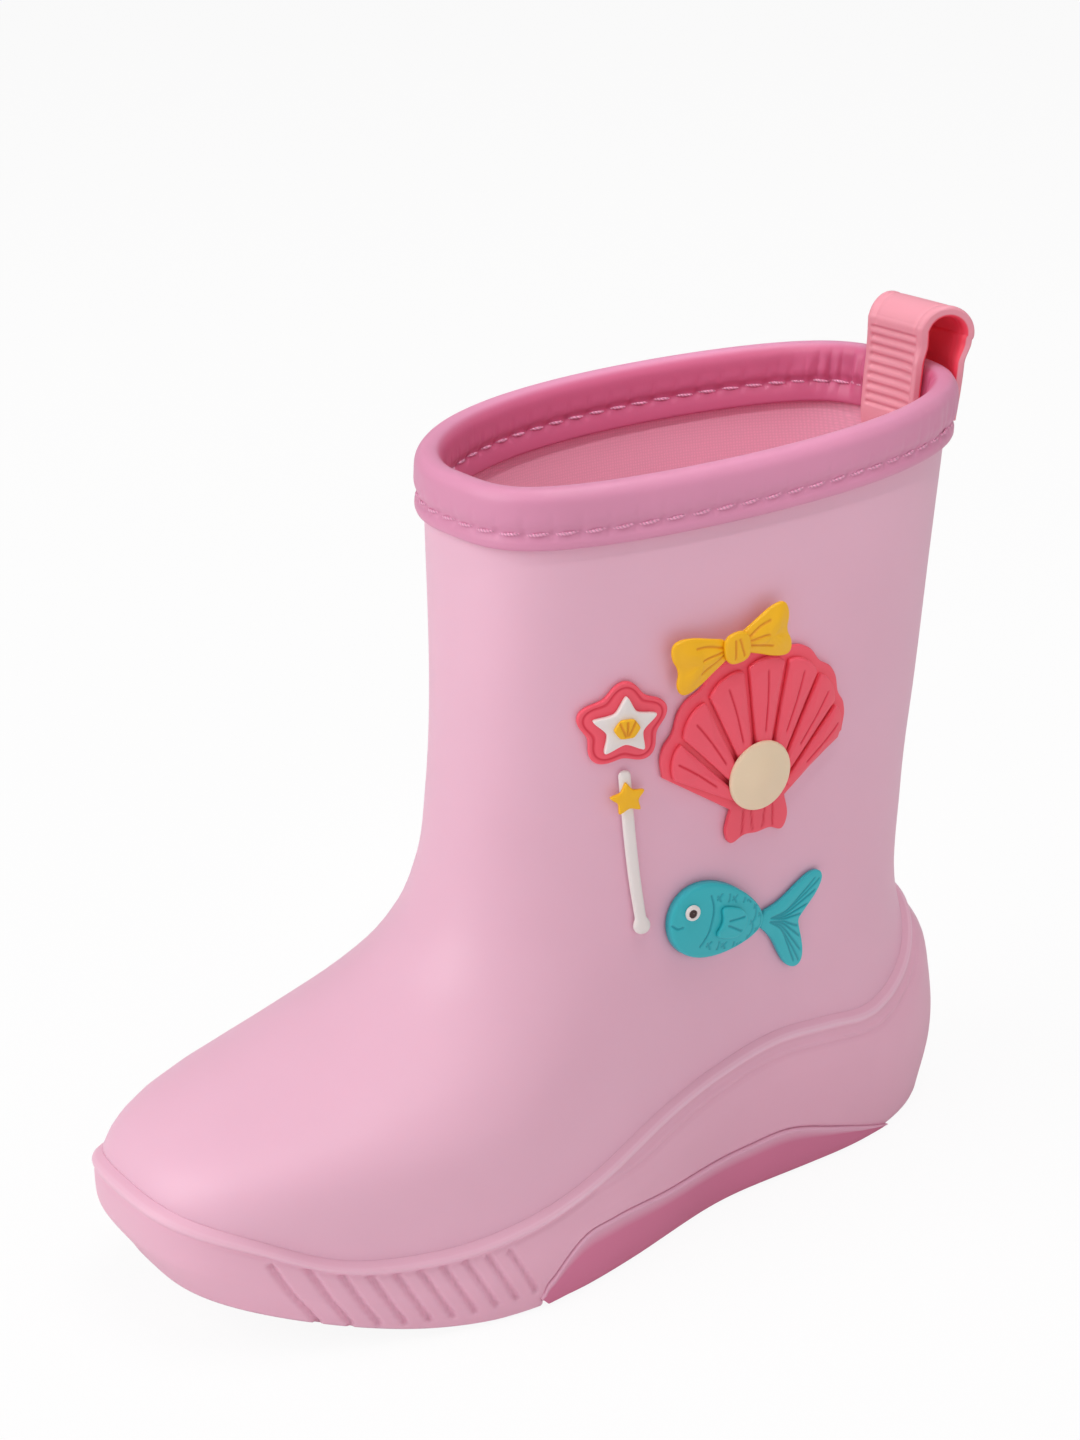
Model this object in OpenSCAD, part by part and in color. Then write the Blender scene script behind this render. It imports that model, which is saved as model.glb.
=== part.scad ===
// Child's rubber rain boot, left foot.
// Toe towards -Y, heel towards +Y, outer side of the foot towards +X.
// The origin is on the ground, under the middle of the sole.

/* [Overall] */
// Length of the upper from toe to heel at the sole
boot_len = 178; // [148:2:214]
// Height of the collar top at the front of the shaft
boot_h = 149; // [125:1:180]
// Half the width of the upper at the ball of the foot
ball_half_w = 37; // [31:0.5:44]

/* [Shaft] */
// Half the width of the shaft at the ankle
ankle_half_w = 27.7; // [23:0.1:33]
// Half the width of the collar on the outer side
top_half_w_out = 30; // [25:0.5:36]
// Half the width of the collar on the inner side
top_half_w_in = 36; // [30:0.5:43]
// Rise of the collar from front to back
collar_rise = 3.5; // [0:0.5:8]

/* [Walls] */
// Thickness of the rubber upper
upper_t = 2.2; // [1.6:0.1:3]
// Thickness of the knitted lining
lining_t = 1; // [0.6:0.1:1.6]
// Glue line between bonded layers
bond = 0.15; // [0.1:0.05:0.3]
// Height of the underside of the upper above the ground
floor_h = 10; // [8:0.5:14]

/* [Sole] */
// Thickness of the sole wall around the upper
wall_t = 3.1; // [2.4:0.1:4]
// How far the rim bead stands out from the sole wall
bead_out = 0.7; // [0.3:0.1:1.2]
// Height of the rim bead
bead_h = 2.2; // [1.4:0.2:3.2]
// Height of the recess above the ground that takes the tread plate
recess_h = 5.5; // [4.5:0.5:7]
// Depth of the tread lugs
lug_h = 2.4; // [1.6:0.2:3]
// Height of the tread's side edge under the arch
flange_low = 2; // [1:0.2:3]
// Rise of the sole under the toe tip
toe_spring = 7; // [4:0.5:8]
// Number of tread lugs along the sole
lugs = 15; // [10:1:20]

/* [Collar] */
// Thickness of the folded binding tape
tape_t = 1.3; // [0.9:0.1:1.8]
// Height of the outer leaf of the binding
leaf_out_h = 10.8; // [8:0.2:14]
// Height of the inner leaf of the binding
leaf_in_h = 12; // [9:0.2:15]
// How far the rolled top of the binding swells out
roll_out = 0.6; // [0.2:0.1:1]
// Number of stitches around the collar
stitches = 58; // [40:2:70]
// Diameter of the sewing thread
thread_d = 0.9; // [0.6:0.1:1.1]

/* [Pull loop] */
// Width of the pull loop
loop_w = 18.5; // [14:0.5:24]
// Thickness of the pull loop
loop_t = 2; // [1.4:0.1:2.6]
// Radius of the middle of the loop above the collar
loop_r = 5.6; // [5:0.2:9]
// Length of the loop's inner end below the collar top
loop_in_h = 22; // [16:1:28]

/* [Insole] */
// Thickness of the insole foam
foam_t = 3; // [2:0.5:5]
// Thickness of the insole cover
cover_t = 0.8; // [0.5:0.1:1.4]
// Clearance between the insole and the lining
insole_gap = 1.5; // [1:0.1:2.5]
// How much shorter the insole is than the room at the heel
insole_heel_gap = 4; // [3:0.5:6]
// Clearance between the insole and the floor
insole_lift_gap = 0.3; // [0.2:0.1:0.6]

/* [Badge] */
// Thickness of a badge base plate
base_t = 0.9; // [0.6:0.1:1.4]
// Thickness of the colour fills on a base plate
fill_t = 1; // [0.6:0.1:1.6]
// Gap under the badges
badge_gap = 0.35; // [0.3:0.05:0.5]
// Height of the scallop shell's fan
shell_r = 33; // [26:1:35]
// Length of the wand stick
stick_len = 30; // [24:1:32]

/* [Hidden] */

standard_len = 178;
len_k = boot_len / standard_len;
around = 40;
crowd = 12;
wide_k = 0.64;
shaft_k_front = 0.89;
shaft_k_back = 0.78;
top_k = [[0.5, 0.85], [1.05, 0.55]];
in_face = upper_t + bond + lining_t;
// Top of the upper and lining below the collar top
sock_top_h = -tape_t - 0.75;
stitch_drop = 7.8;

// Profile of the upper along its centre line: height, then place along the foot
front_pts = [
    [0, -79.5], [10, -84.5], [20, -88.5], [28, -89], [34, -82.5], [40, -65.5], [46, -49.5],
    [52, -38.5], [60, -30.5], [70, -26], [85, -23.5], [boot_h + 6, -21.5]
];
back_pts = [
    [0, 85.6], [12, 88.8], [30, 86.2], [50, 80], [70, 81.5], [90, 84], [120, 87], [boot_h + 6, 91]
];
// Half width along the foot as a share of the ball's
plan_pts = [[-92, 0.97], [-68, 0.985], [-36, 1], [22, 0.73], [64, 0.83], [97, 0.83]];
// Top edge of the sole wall: share of the way from toe to heel, then height
rim_pts = [
    [0, 27], [0.06, 23], [0.13, 17], [0.22, 15.5], [0.33, 17.5], [0.42, 20.5], [0.54, 26],
    [0.62, 29], [0.71, 31.5], [0.78, 30.5], [0.86, 29], [0.93, 34], [0.98, 42], [1, 45]
];
// Lower edge of the sole wall along its sides
ground_gap = 0.4;
arch_pts = [
    [-34, ground_gap], [-25, 8.3], [-10, 8.8], [12, 7], [38, 9.2], [52, 6.5], [62, ground_gap]
];
// Share of the sole that rises to the toe, and how steeply
spring_from = 0.26;
spring_power = 1.5;
// Inset of the tread plate's recess from the side of the upper
plate_in = 1;
tread_from = -68;
tread_to = 80;
lug_w = 4;
lug_v = 8;
// Length of the tread edge's slanted ends
flange_run = 4;
// Plain panel under the arch
panel_w = 26;
panel_l = 30;

// Places of the badges: along the foot, then height
shell_hinge = [27, 82];
shell_spread = 62;
shell_ribs_n = 7;
pearl_at = [26, 90];
pearl_r = 6.8;
bow_at = [19, 117];
bow_tilt = 10;
wand_at = [-1, 104.5];
fish_at = [18, 62];
fish_tilt = -16;

upper_colour = "#efc3d6";
collar_colour = "#d987a8";
coral = "#f15566";
yellow = "#f0ae12";
teal = "#2fb3bd";

// Curves

function slope(p, i) = (p[i + 1][1] - p[i][1]) / (p[i + 1][0] - p[i][0]);
function tangent(p, i) =
    i == 0 ? slope(p, 0) :
    i == len(p) - 1 ? slope(p, i - 1) :
    (slope(p, i - 1) * (p[i + 1][0] - p[i][0]) + slope(p, i) * (p[i][0] - p[i - 1][0]))
    / (p[i + 1][0] - p[i - 1][0]);
function span(p, x, i = 0) = i >= len(p) - 2 || x < p[i + 1][0] ? i : span(p, x, i + 1);
function curve(p, x) =
    let (c = min(max(x, p[0][0]), p[len(p) - 1][0]), i = span(p, c))
    let (h = p[i + 1][0] - p[i][0], t = (c - p[i][0]) / h)
    (2 * pow(t, 3) - 3 * t * t + 1) * p[i][1] + (pow(t, 3) - 2 * t * t + t) * h * tangent(p, i)
    + (3 * t * t - 2 * pow(t, 3)) * p[i + 1][1] + (pow(t, 3) - t * t) * h * tangent(p, i + 1);
function mix(a, b, t) = a * (1 - t) + b * t;
function clamp(x, lo = 0, hi = 1) = min(max(x, lo), hi);
function smooth(t) = let (c = clamp(t)) c * c * (3 - 2 * c);
function unit(v) = v / norm(v);

// Outer surface of the upper: z is the height, and a turns from the toe (0) over the outer
// side (90) to the heel (180)

function front_y(z) = curve(front_pts, z) * len_k;
function back_y(z) = curve(back_pts, z) * len_k;
function share(a) = (1 - cos(a)) / 2;
function foot_w(y) = curve(plan_pts, y / len_k) * ball_half_w;
function shaft_w(z, a) =
    let (top = sin(a) > 0 ? top_half_w_out : top_half_w_in)
    mix(ankle_half_w, top, smooth((z - 60) / (boot_h - 60)));
function shaft_k(z, a) =
    let (side = top_k[sin(a) > 0 ? 0 : 1], q = share(a))
    mix(mix(shaft_k_front, shaft_k_back, q), mix(side[0], side[1], q), smooth((z - 60) / (boot_h - 60)));
function last_point(z, a) =
    let (q = share(a), y = mix(front_y(z), back_y(z), q), s = smooth((z - 25) / 60))
    let (k = mix(wide_k, shaft_k(z, a), s), w = mix(foot_w(y), shaft_w(z, a), s))
    let (toe_in = -6 * pow(clamp((-y / len_k - 17) / 70, 0, 1.3), 1.5) * (1 - s))
    [toe_in + w * sign(sin(a)) * pow(abs(sin(a)), k), y, z];
function last_normal(z, a) =
    unit(cross(last_point(z, a + 1.5) - last_point(z, a - 1.5), last_point(z + 0.5, a) - last_point(z - 0.5, a)));
function skin(z, a, off) = last_point(z, a) + off * last_normal(z, a);
function skin_at_floor(z, a, off) = let (p = skin(z, a, off)) [p[0], p[1], z];

// Angles around the boot, closer together at the toe and the heel
function turn(i, n = around) = let (a = 360 * i / n) a - crowd * sin(2 * a);
function turns(n = around) = [for (i = [0:n - 1]) turn(i, n)];

function collar_top(a) = boot_h + collar_rise * share(a);
function side_angle(y, z) = acos(1 - 2 * clamp((y - front_y(z)) / (back_y(z) - front_y(z)), 0.001, 0.999));
function on_side(p, off) = skin(p[1], side_angle(p[0], p[1]), off);

// Solids from rings of points

function flat_list(rings) = [for (r = rings) for (p = r) p];
function reversed(r) = [for (i = [len(r) - 1:-1:0]) r[i]];
function mean(r) = [for (k = [0:2]) (max([for (p = r) p[k]]) + min([for (p = r) p[k]])) / 2];
// Faces between neighbouring rings of n points
function band(n, k) = [
    for (j = [0:k - 2]) for (i = [0:n - 1])
        let (a = j * n + i, b = j * n + (i + 1) % n)
        each [[a, b, b + n], [a, b + n, a + n]]
];
// Closed solid through rings that run the same way round, with a point at each end
module loft(rings, first, last) {
    n = len(rings[0]);
    k = len(rings);
    points = concat(flat_list(rings), [first, last]);
    ends = [for (i = [0:n - 1]) each [
        [n * k, (i + 1) % n, i],
        [n * k + 1, (k - 1) * n + i, (k - 1) * n + (i + 1) % n]
    ]];
    polyhedron(points, [for (f = concat(band(n, k), ends)) [f[0], f[2], f[1]]]);
}
// Closed ring of sections
module ring_solid(sections) {
    n = len(sections[0]);
    k = len(sections);
    points = flat_list(sections);
    faces = [
        for (j = [0:k - 1]) for (i = [0:n - 1])
            let (a = j * n + i, b = j * n + (i + 1) % n, c = ((j + 1) % k) * n + i, d = ((j + 1) % k) * n + (i + 1) % n)
            each [[a, b, d], [a, d, c]]
    ];
    polyhedron(points, faces);
}

// Upper and lining

body_levels = [16, 20, 25, 29, 32, 35, 38, 41, 44, 48, 53, 59, 67, 78, 92, 108, 124, 138];
// The top levels are stretched to end at the collar
stretch_from = 78;
function to_collar(z, a) =
    let (t = (z - stretch_from) / (138 - stretch_from))
    z <= stretch_from ? z : mix(stretch_from, collar_top(a) + sock_top_h, t);
function sock_side(off) = [for (z = body_levels) [for (a = turns()) skin(to_collar(z, a), a, off)]];
function sock_base(off, bottom, r) = [
    for (p = [[-2 * r, 0], [-r, r / 12], [-0.3 * r, 0.3 * r], [0, r]])
        [for (a = turns()) let (s = skin(bottom + r, a, off + p[0])) [s[0], s[1], bottom + p[1]]]
];
// Closed sock between the offsets out and in, standing on the height bottom
module sock(out, in, bottom, out_r, in_r) {
    inside_bottom = bottom + out - in;
    out_rings = concat(sock_base(out, bottom, out_r), sock_side(out));
    in_rings = concat(sock_base(in, inside_bottom, in_r), sock_side(in));
    loft(concat(out_rings, reversed(in_rings)), [0, 0, bottom], [0, 0, inside_bottom]);
}
module upper() {
    color(upper_colour)
        sock(0, -upper_t, floor_h, 4, 2.4);
}
module lining() {
    color("#d98aa0")
        sock(-upper_t - bond, -in_face, floor_h + upper_t + bond, 2.2, 1.2);
}

// Sole

// Height of the rim, of the lower edge and of the recess above the tread plate
function rim_h(a) = curve(rim_pts, share(a));
function spring_h(q) = toe_spring * pow(clamp((spring_from - q) / spring_from), spring_power);
function low_h(a) =
    let (q = share(a), y = mix(front_y(4), back_y(4), q) / len_k)
    curve(arch_pts, y) + spring_h(q);
function ceiling_h(a) = max(recess_h, low_h(a) + 0.05);
function ring_at(a, h, off) = let (p = skin(h, a, off)) [p[0], p[1], h];
module sole_wall() {
    as = turns();
    well_h = floor_h - 2 * bond;
    inside = [for (t = [0, 0.1, 0.22, 0.4, 0.6, 0.8, 1]) [for (a = as) skin(mix(well_h, rim_h(a), t), a, 2 * bond)]];
    crown = [
        [for (a = as) skin(rim_h(a) + 0.5, a, wall_t * 0.4)],
        [for (a = as) skin(rim_h(a), a, wall_t + bead_out * 0.6)],
        [for (a = as) skin(rim_h(a) - bead_h * 0.45, a, wall_t + bead_out)],
        [for (a = as) skin(rim_h(a) - bead_h, a, wall_t)]
    ];
    outside = [
        for (t = [0.3, 0.62, 0.9]) [for (a = as) skin(mix(rim_h(a) - bead_h, low_h(a), t), a, wall_t)]
    ];
    under = [
        [for (a = as) ring_at(a, low_h(a), wall_t - 1)],
        [for (a = as) ring_at(a, low_h(a), 0.1 - plate_in)],
        [for (a = as) let (p = ring_at(a, low_h(a), -plate_in)) [p[0], p[1], ceiling_h(a)]]
    ];
    color("#e6b4c8")
        loft(reversed(concat(inside, crown, outside, under)), [0, 0, recess_h], [0, 0, well_h]);
}

// Plan outline at the height z and the offset off
function plan(z, off, n = 64) = [for (a = turns(n)) let (p = skin(z, a, off)) [p[0], p[1]]];
// Side view of the tread that shows under the arch, along the sole wall's own lower edge
arch_edge = [
    for (a = turns())
        let (p = ring_at(a, low_h(a), wall_t), h = low_h(a) - bond)
        if (a < 180 && spring_h(share(a)) == 0 && h > flange_low + 0.5)
            [p[1], h]
];
arch_first = arch_edge[0];
arch_last = arch_edge[len(arch_edge) - 1];
arch_window = concat(
    [[arch_last[0] + flange_run, flange_low], [arch_first[0] - flange_run, flange_low]],
    arch_edge
);
module prism(outline, z0, z1) {
    translate([0, 0, z0])
        linear_extrude(z1 - z0)
            polygon(outline);
}
// Tread that reaches the side of the sole under the arch
module arch_flange() {
    intersection() {
        difference() {
            prism(plan(4, wall_t), 0, recess_h + 5);
            prism(plan(4, -plate_in - 0.9), -1, recess_h + 6);
        }
        translate([-2 * ball_half_w, 0, 0])
            rotate([90, 0, 90])
                linear_extrude(4 * ball_half_w)
                    polygon(arch_window);
    }
}
module lug_bars() {
    pitch = (tread_to - tread_from) / (lugs - 1);
    for (i = [0:lugs - 1])
        let (y = (tread_from + i * pitch) * len_k, up = spring_h((y - front_y(0)) / boot_len))
        if (up < lug_h - 0.5 && abs(y + lug_v / 2) > panel_l / 2 + lug_w)
            translate([0, y, up])
                linear_extrude(lug_h - up)
                    polygon([
                        [-ball_half_w, lug_v], [0, 0], [ball_half_w, lug_v],
                        [ball_half_w, lug_v + lug_w], [0, lug_w], [-ball_half_w, lug_v + lug_w]
                    ]);
}
module outsole() {
    color("#c46f93") {
        difference() {
            prism(plan(ground_gap, -plate_in - 0.6), lug_h, recess_h - bond);
            translate([-ball_half_w, -boot_len, 0])
                cube([2 * ball_half_w, boot_len + tread_from * len_k, recess_h]);
        }
        arch_flange();
        intersection() {
            prism(plan(ground_gap, -plate_in - 1.4), 0, lug_h);
            lug_bars();
        }
        translate([-panel_w / 2, -panel_l / 2, 0])
            cube([panel_w, panel_l, lug_h]);
    }
}

// Collar

tape_out = bond + tape_t;
tape_in = in_face + bond + tape_t;
binding_profile = [
    [bond, -leaf_out_h],
    [tape_out, 0.3 - leaf_out_h],
    [tape_out + 0.1, -0.65 * leaf_out_h],
    [tape_out + roll_out, -4.4],
    [tape_out + 0.7 * roll_out, -2.2],
    [tape_out - 0.7, -0.5],
    [-in_face / 2, 0],
    [0.7 - tape_in, -0.5],
    [-tape_in - 0.7 * roll_out, -2.2],
    [-tape_in - roll_out, -4.4],
    [-tape_in - 0.1, -0.65 * leaf_in_h],
    [-tape_in, 0.3 - leaf_in_h],
    [-in_face - bond, -leaf_in_h],
    [-in_face - bond, sock_top_h + bond],
    [bond, sock_top_h + bond]
];
module collar_binding() {
    color(collar_colour)
        ring_solid([for (a = turns()) [for (p = binding_profile) skin(collar_top(a) + p[1], a, p[0])]]);
}
module rod(from, to, d) {
    v = to - from;
    translate(from)
        rotate([0, acos(v[2] / norm(v)), atan2(v[1], v[0])])
            cylinder(d = d, h = norm(v), $fn = 16);
}
// Row of stitches around the collar at the offset off, left out where the pull loop covers it
module stitch_row(off) {
    loop_from = heel_angle(loop_w / 2 + thread_d);
    loop_to = heel_angle(-loop_w / 2 - thread_d);
    for (i = [0:stitches - 1])
        let (a = turn(i, stitches), b = turn(i + 1, stitches))
        if (b < loop_from || a > loop_to)
            let (from = stitch_point(a, off), to = stitch_point(b, off))
            rod(mix(from, to, 0.1), mix(from, to, 0.82), thread_d);
}
function stitch_point(a, off) = skin(collar_top(a) - stitch_drop, a, off);
module needle_thread() {
    color("#e39bbd")
        stitch_row(tape_out + 0.35 + thread_d / 2);
}
module bobbin_thread() {
    color("#e39bbd")
        stitch_row(-tape_in - 0.35 - thread_d / 2);
}

// Pull loop, as a path of offset and height beside the collar top

loop_in = -tape_in - roll_out - 0.45 - loop_t / 2;
loop_out = tape_out + roll_out + 0.45 + loop_t / 2;
loop_mid = (loop_in + loop_out) / 2;
loop_up = loop_r - 0.7;
loop_turn = acos((loop_out - loop_mid) / loop_r);
loop_path = concat(
    [
        [-in_face - 0.4 - loop_t / 2, -loop_in_h],
        [-in_face - 0.6 - loop_t / 2, (-loop_in_h - leaf_in_h) / 2],
        [0.3 + loop_in, -leaf_in_h],
        [0.1 + loop_in, -0.65 * leaf_in_h],
        [loop_in, -4]
    ],
    [
        for (i = [0:12])
            let (t = 180 + loop_turn - i * (180 + 2 * loop_turn) / 12)
            [loop_mid + loop_r * cos(t), loop_up + loop_r * sin(t)]
    ],
    [[loop_out, -4], [loop_out - 0.3, -leaf_out_h]]
);
// Angle on the collar at the distance u from the middle of the heel
function heel_angle(u) =
    let (side = u > 0 ? 0 : 1, w = side == 0 ? top_half_w_out : top_half_w_in)
    180 - sign(u) * asin(pow(abs(u) / w, 1 / top_k[side][1]));
// The loop follows the bend of the collar below its top and straightens above it
function loop_point(u, c) =
    let (top = collar_top(180), straight = 0.85 * smooth(c[1] / loop_r))
    let (p = skin(top + min(c[1], 0), heel_angle(u), c[0]), m = skin(top, 180, c[0]))
    [p[0], mix(p[1], m[1], straight), top + c[1]];
function path_normal(i) =
    let (a = loop_path[max(i - 1, 0)], b = loop_path[min(i + 1, len(loop_path) - 1)], d = unit(b - a))
    [-d[1], d[0]];
module pull_loop() {
    across = [for (i = [-3:3]) i * loop_w / 6];
    rings = [
        for (i = [0:len(loop_path) - 1])
            let (c = loop_path[i], n = path_normal(i) * loop_t / 2)
            concat(
                [for (u = across) loop_point(u, c + n)],
                [for (u = reversed(across)) loop_point(u, c - n)]
            )
    ];
    color("#e8848f")
        loft(rings, mean(rings[0]), mean(rings[len(rings) - 1]));
}

// Insole, a loose piece that lifts at the heel about its toe tip

insole_z = floor_h + upper_t + bond + lining_t + insole_lift_gap;
insole_toe_y = front_y(insole_z) + in_face + insole_gap;
insole_heel_y = back_y(insole_z) - in_face - insole_gap;
insole_k = (insole_heel_y - insole_heel_gap - insole_toe_y) / (insole_heel_y - insole_toe_y);
function insole_plan(inset) = [
    for (p = plan(insole_z, -in_face - insole_gap - inset))
        [p[0], insole_toe_y + (p[1] - insole_toe_y) * insole_k]
];
module insole_foam() {
    color("#f2d3dc")
        prism(insole_plan(0), insole_z, insole_z + foam_t);
}
module insole_cover() {
    color("#e58fae")
        prism(insole_plan(0.3), insole_z + foam_t, insole_z + foam_t + cover_t);
}

// Badges on the outer side of the shaft: places are [along the foot, height]

module badge(outline, centre, from, to) {
    function at(s, off) = [for (p = outline) on_side(mix(centre, p, s), off)];
    loft(
        [at(0.5, from), at(1, from), at(1, to - 0.25), at(0.93, to), at(0.5, to)],
        on_side(centre, from),
        on_side(centre, to)
    );
}
function polar(c, r, t) = c + r * [cos(t), sin(t)];
function turned(p, c, t) = let (d = p - c) c + [d[0] * cos(t) - d[1] * sin(t), d[0] * sin(t) + d[1] * cos(t)];
function disc(c, r, n = 20) = [for (i = [0:n - 1]) polar(c, r, 360 * i / n)];
function star(c, r, inner, tilt = 0) = [for (i = [0:9]) polar(c, i % 2 == 0 ? r : inner, 90 + tilt + 36 * i)];
function lobed(c, r, depth, n = 30) = [for (i = [0:n - 1]) polar(c, r + depth * cos(5 * (360 * i / n - 90)), 360 * i / n)];
function capsule(a, b, r) =
    let (t = atan2(b[1] - a[1], b[0] - a[0]))
    concat(
        [for (i = [-90:45:90]) polar(b, r, t + i)],
        [for (i = [90:45:270]) polar(a, r, t + i)]
    );
low_face = badge_gap + base_t + bond;
mid_face = low_face + fill_t + bond;

// Scallop shell with its hinge at the bottom
function shell_edge(t) = shell_r * (0.61 + 0.39 * pow(cos(t), 1.5));
function fan_point(r, t) = shell_hinge + r * [sin(t), cos(t)];
shell_centre = shell_hinge + [0, 0.45 * shell_r];
rib_step = 2 * shell_spread / shell_ribs_n;
module shell_base() {
    rim = [
        for (i = [4 * shell_ribs_n:-1:0])
            let (t = -shell_spread + i * rib_step / 4)
            fan_point(shell_edge(t) - 0.9 * abs(cos(180 * i / 4)), t)
    ];
    ears = [for (p = [[-5.5, 0.5], [-6.5, -5], [0, -4], [6.5, -5], [5.5, 0.5]]) shell_hinge + p];
    color(coral)
        badge(concat(rim, ears), shell_centre, badge_gap, badge_gap + base_t);
}
module shell_ribs() {
    color(coral)
        for (i = [0:shell_ribs_n - 1])
            let (t = -shell_spread + (i + 0.5) * rib_step, w = rib_step / 2 - 1.3)
            badge(
                concat(
                    [for (k = [1:-0.5:-1]) fan_point(shell_edge(t) - 2.6, t + k * w)],
                    [for (k = [-0.7, 0.7]) fan_point(0.24 * shell_r, t + k * w)]
                ),
                fan_point(0.7 * shell_r, t), low_face, low_face + fill_t
            );
}
module pearl() {
    color("#f3e3cf")
        badge(disc(pearl_at, pearl_r), pearl_at, mid_face, mid_face + 1.6);
}
// Half of the bow, to the side s of its knot
function bow_half(s) = [
    for (p = [[1.5, -1.6], [6, -4.2], [11, -6], [12.6, -1], [11.4, 4.6], [6.5, 4], [1.5, 1.6]])
        turned(bow_at + [s * p[0], p[1]], bow_at, bow_tilt)
];
module bow_loops() {
    color(yellow)
        for (s = [-1, 1])
            badge(
                s > 0 ? bow_half(s) : reversed(bow_half(s)),
                turned(bow_at + [s * 7, -0.5], bow_at, bow_tilt), mid_face, mid_face + fill_t
            );
}
module bow_knot() {
    color(yellow)
        badge(disc(bow_at, 2.9, 12), bow_at, mid_face + fill_t + bond, mid_face + 2 * fill_t);
}
module wand_base() {
    color(coral)
        badge(lobed(wand_at, 7.4, 0.9), wand_at, badge_gap, badge_gap + base_t);
}
module wand_star() {
    color("white")
        badge(star(wand_at, 6.2, 3), wand_at, low_face, low_face + fill_t);
}
module wand_gem() {
    color(yellow)
        badge(disc(wand_at, 2.1, 6), wand_at, mid_face, mid_face + 0.8);
}
stick_top = wand_at - [-0.4, 10];
stick_end = stick_top + stick_len * [sin(5), -cos(5)];
module wand_stick() {
    color("white")
        badge(capsule(stick_end, stick_top, 1.1), (stick_top + stick_end) / 2, badge_gap, badge_gap + base_t);
}
module wand_charm() {
    at = mix(stick_top, stick_end, 0.14);
    color(yellow)
        badge(star(at, 3.3, 1.7, 8), at, low_face, low_face + 0.8);
}
// Fish that looks towards the toe
function fish_line(k) = [
    for (i = [0:17])
        let (t = 20 * i)
        turned(fish_at + k * [11 * cos(t), (7.2 - 2 * cos(t)) * sin(t)], fish_at, fish_tilt)
];
module fish_body() {
    color(teal)
        badge(fish_line(1), fish_at, badge_gap, badge_gap + base_t + fill_t);
}
module fish_tail() {
    root = turned(fish_at + [16, 0], fish_at, fish_tilt);
    lobes = [
        for (p = [[-4.6, -1.4], [0, -4.4], [5.4, -9.5], [9, -9], [7.2, -3.5], [5.2, 0], [7.2, 3.5], [9, 9], [5.4, 9.5], [0, 4.4], [-4.6, 1.4]])
            turned(root + p, root, fish_tilt)
    ];
    color(teal)
        badge(lobes, root, badge_gap, badge_gap + base_t);
}
module fish_fin() {
    color(teal)
        badge(
            [for (p = [[-1, -3], [5, -2.6], [6.4, 0], [5, 2.6], [-1, 3], [0.8, 0]]) turned(fish_at + p, fish_at, fish_tilt)],
            turned(fish_at + [2.5, 0], fish_at, fish_tilt), mid_face, mid_face + 0.8
        );
}
module fish_eye() {
    at = turned(fish_at + [-7, 1.6], fish_at, fish_tilt);
    color("white")
        badge(disc(at, 1.5, 12), at, mid_face, mid_face + 0.6);
}

upper();
lining();
sole_wall();
outsole();
collar_binding();
needle_thread();
bobbin_thread();
pull_loop();
insole_foam();
insole_cover();
shell_base();
shell_ribs();
pearl();
bow_loops();
bow_knot();
wand_base();
wand_star();
wand_gem();
wand_stick();
wand_charm();
fish_body();
fish_tail();
fish_fin();
fish_eye();
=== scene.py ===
import math
import bpy
import numpy as np
from mathutils import Matrix, Vector


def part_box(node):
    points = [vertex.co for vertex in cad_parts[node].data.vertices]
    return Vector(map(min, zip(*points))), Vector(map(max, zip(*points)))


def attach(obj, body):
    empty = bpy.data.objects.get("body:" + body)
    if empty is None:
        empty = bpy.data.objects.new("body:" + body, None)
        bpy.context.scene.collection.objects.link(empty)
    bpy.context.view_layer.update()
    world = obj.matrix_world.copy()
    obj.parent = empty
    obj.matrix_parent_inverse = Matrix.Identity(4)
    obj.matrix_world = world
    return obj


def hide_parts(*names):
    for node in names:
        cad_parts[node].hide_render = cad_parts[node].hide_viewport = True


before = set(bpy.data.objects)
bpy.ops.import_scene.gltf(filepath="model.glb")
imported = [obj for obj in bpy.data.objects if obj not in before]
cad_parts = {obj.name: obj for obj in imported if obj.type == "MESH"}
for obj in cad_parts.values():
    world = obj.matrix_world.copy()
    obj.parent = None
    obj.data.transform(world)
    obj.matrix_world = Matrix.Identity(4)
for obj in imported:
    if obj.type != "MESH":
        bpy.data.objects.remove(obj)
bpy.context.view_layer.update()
millimetre = 0.001
print("frame loaded")

# camera and stage: the view is the first thing to set

cameraSettings = {
    "turn": 54.65,  # degrees round from the toe side
    "rise": 21.4,
    "roll": -0.6,
    "distance": 0.5072,
    "lens": 68.3,
    "sensor": 36,
    "lookAt": (0.0, -0.0016, 0.0976),
}


def addCamera():
    turn, rise, roll = (math.radians(cameraSettings[k]) for k in ("turn", "rise", "roll"))
    back = Vector((math.sin(turn) * math.cos(rise), -math.cos(turn) * math.cos(rise), math.sin(rise)))
    right = (-back).cross(Vector((0, 0, 1))).normalized()
    up = right.cross(-back)
    tiltedRight = right * math.cos(roll) + up * math.sin(roll)
    tiltedUp = up * math.cos(roll) - right * math.sin(roll)
    data = bpy.data.cameras.new("mainCamera")
    data.lens = cameraSettings["lens"]
    data.sensor_width = cameraSettings["sensor"]
    camera = bpy.data.objects.new("mainCamera", data)
    place = Matrix((tiltedRight, tiltedUp, back)).transposed().to_4x4()
    place.translation = Vector(cameraSettings["lookAt"]) + back * cameraSettings["distance"]
    camera.matrix_world = place
    bpy.context.scene.collection.objects.link(camera)
    bpy.context.scene.camera = camera


addCamera()
bpy.context.scene.view_settings.view_transform = "Standard"

# small helpers for curves, meshes and pieces


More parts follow.
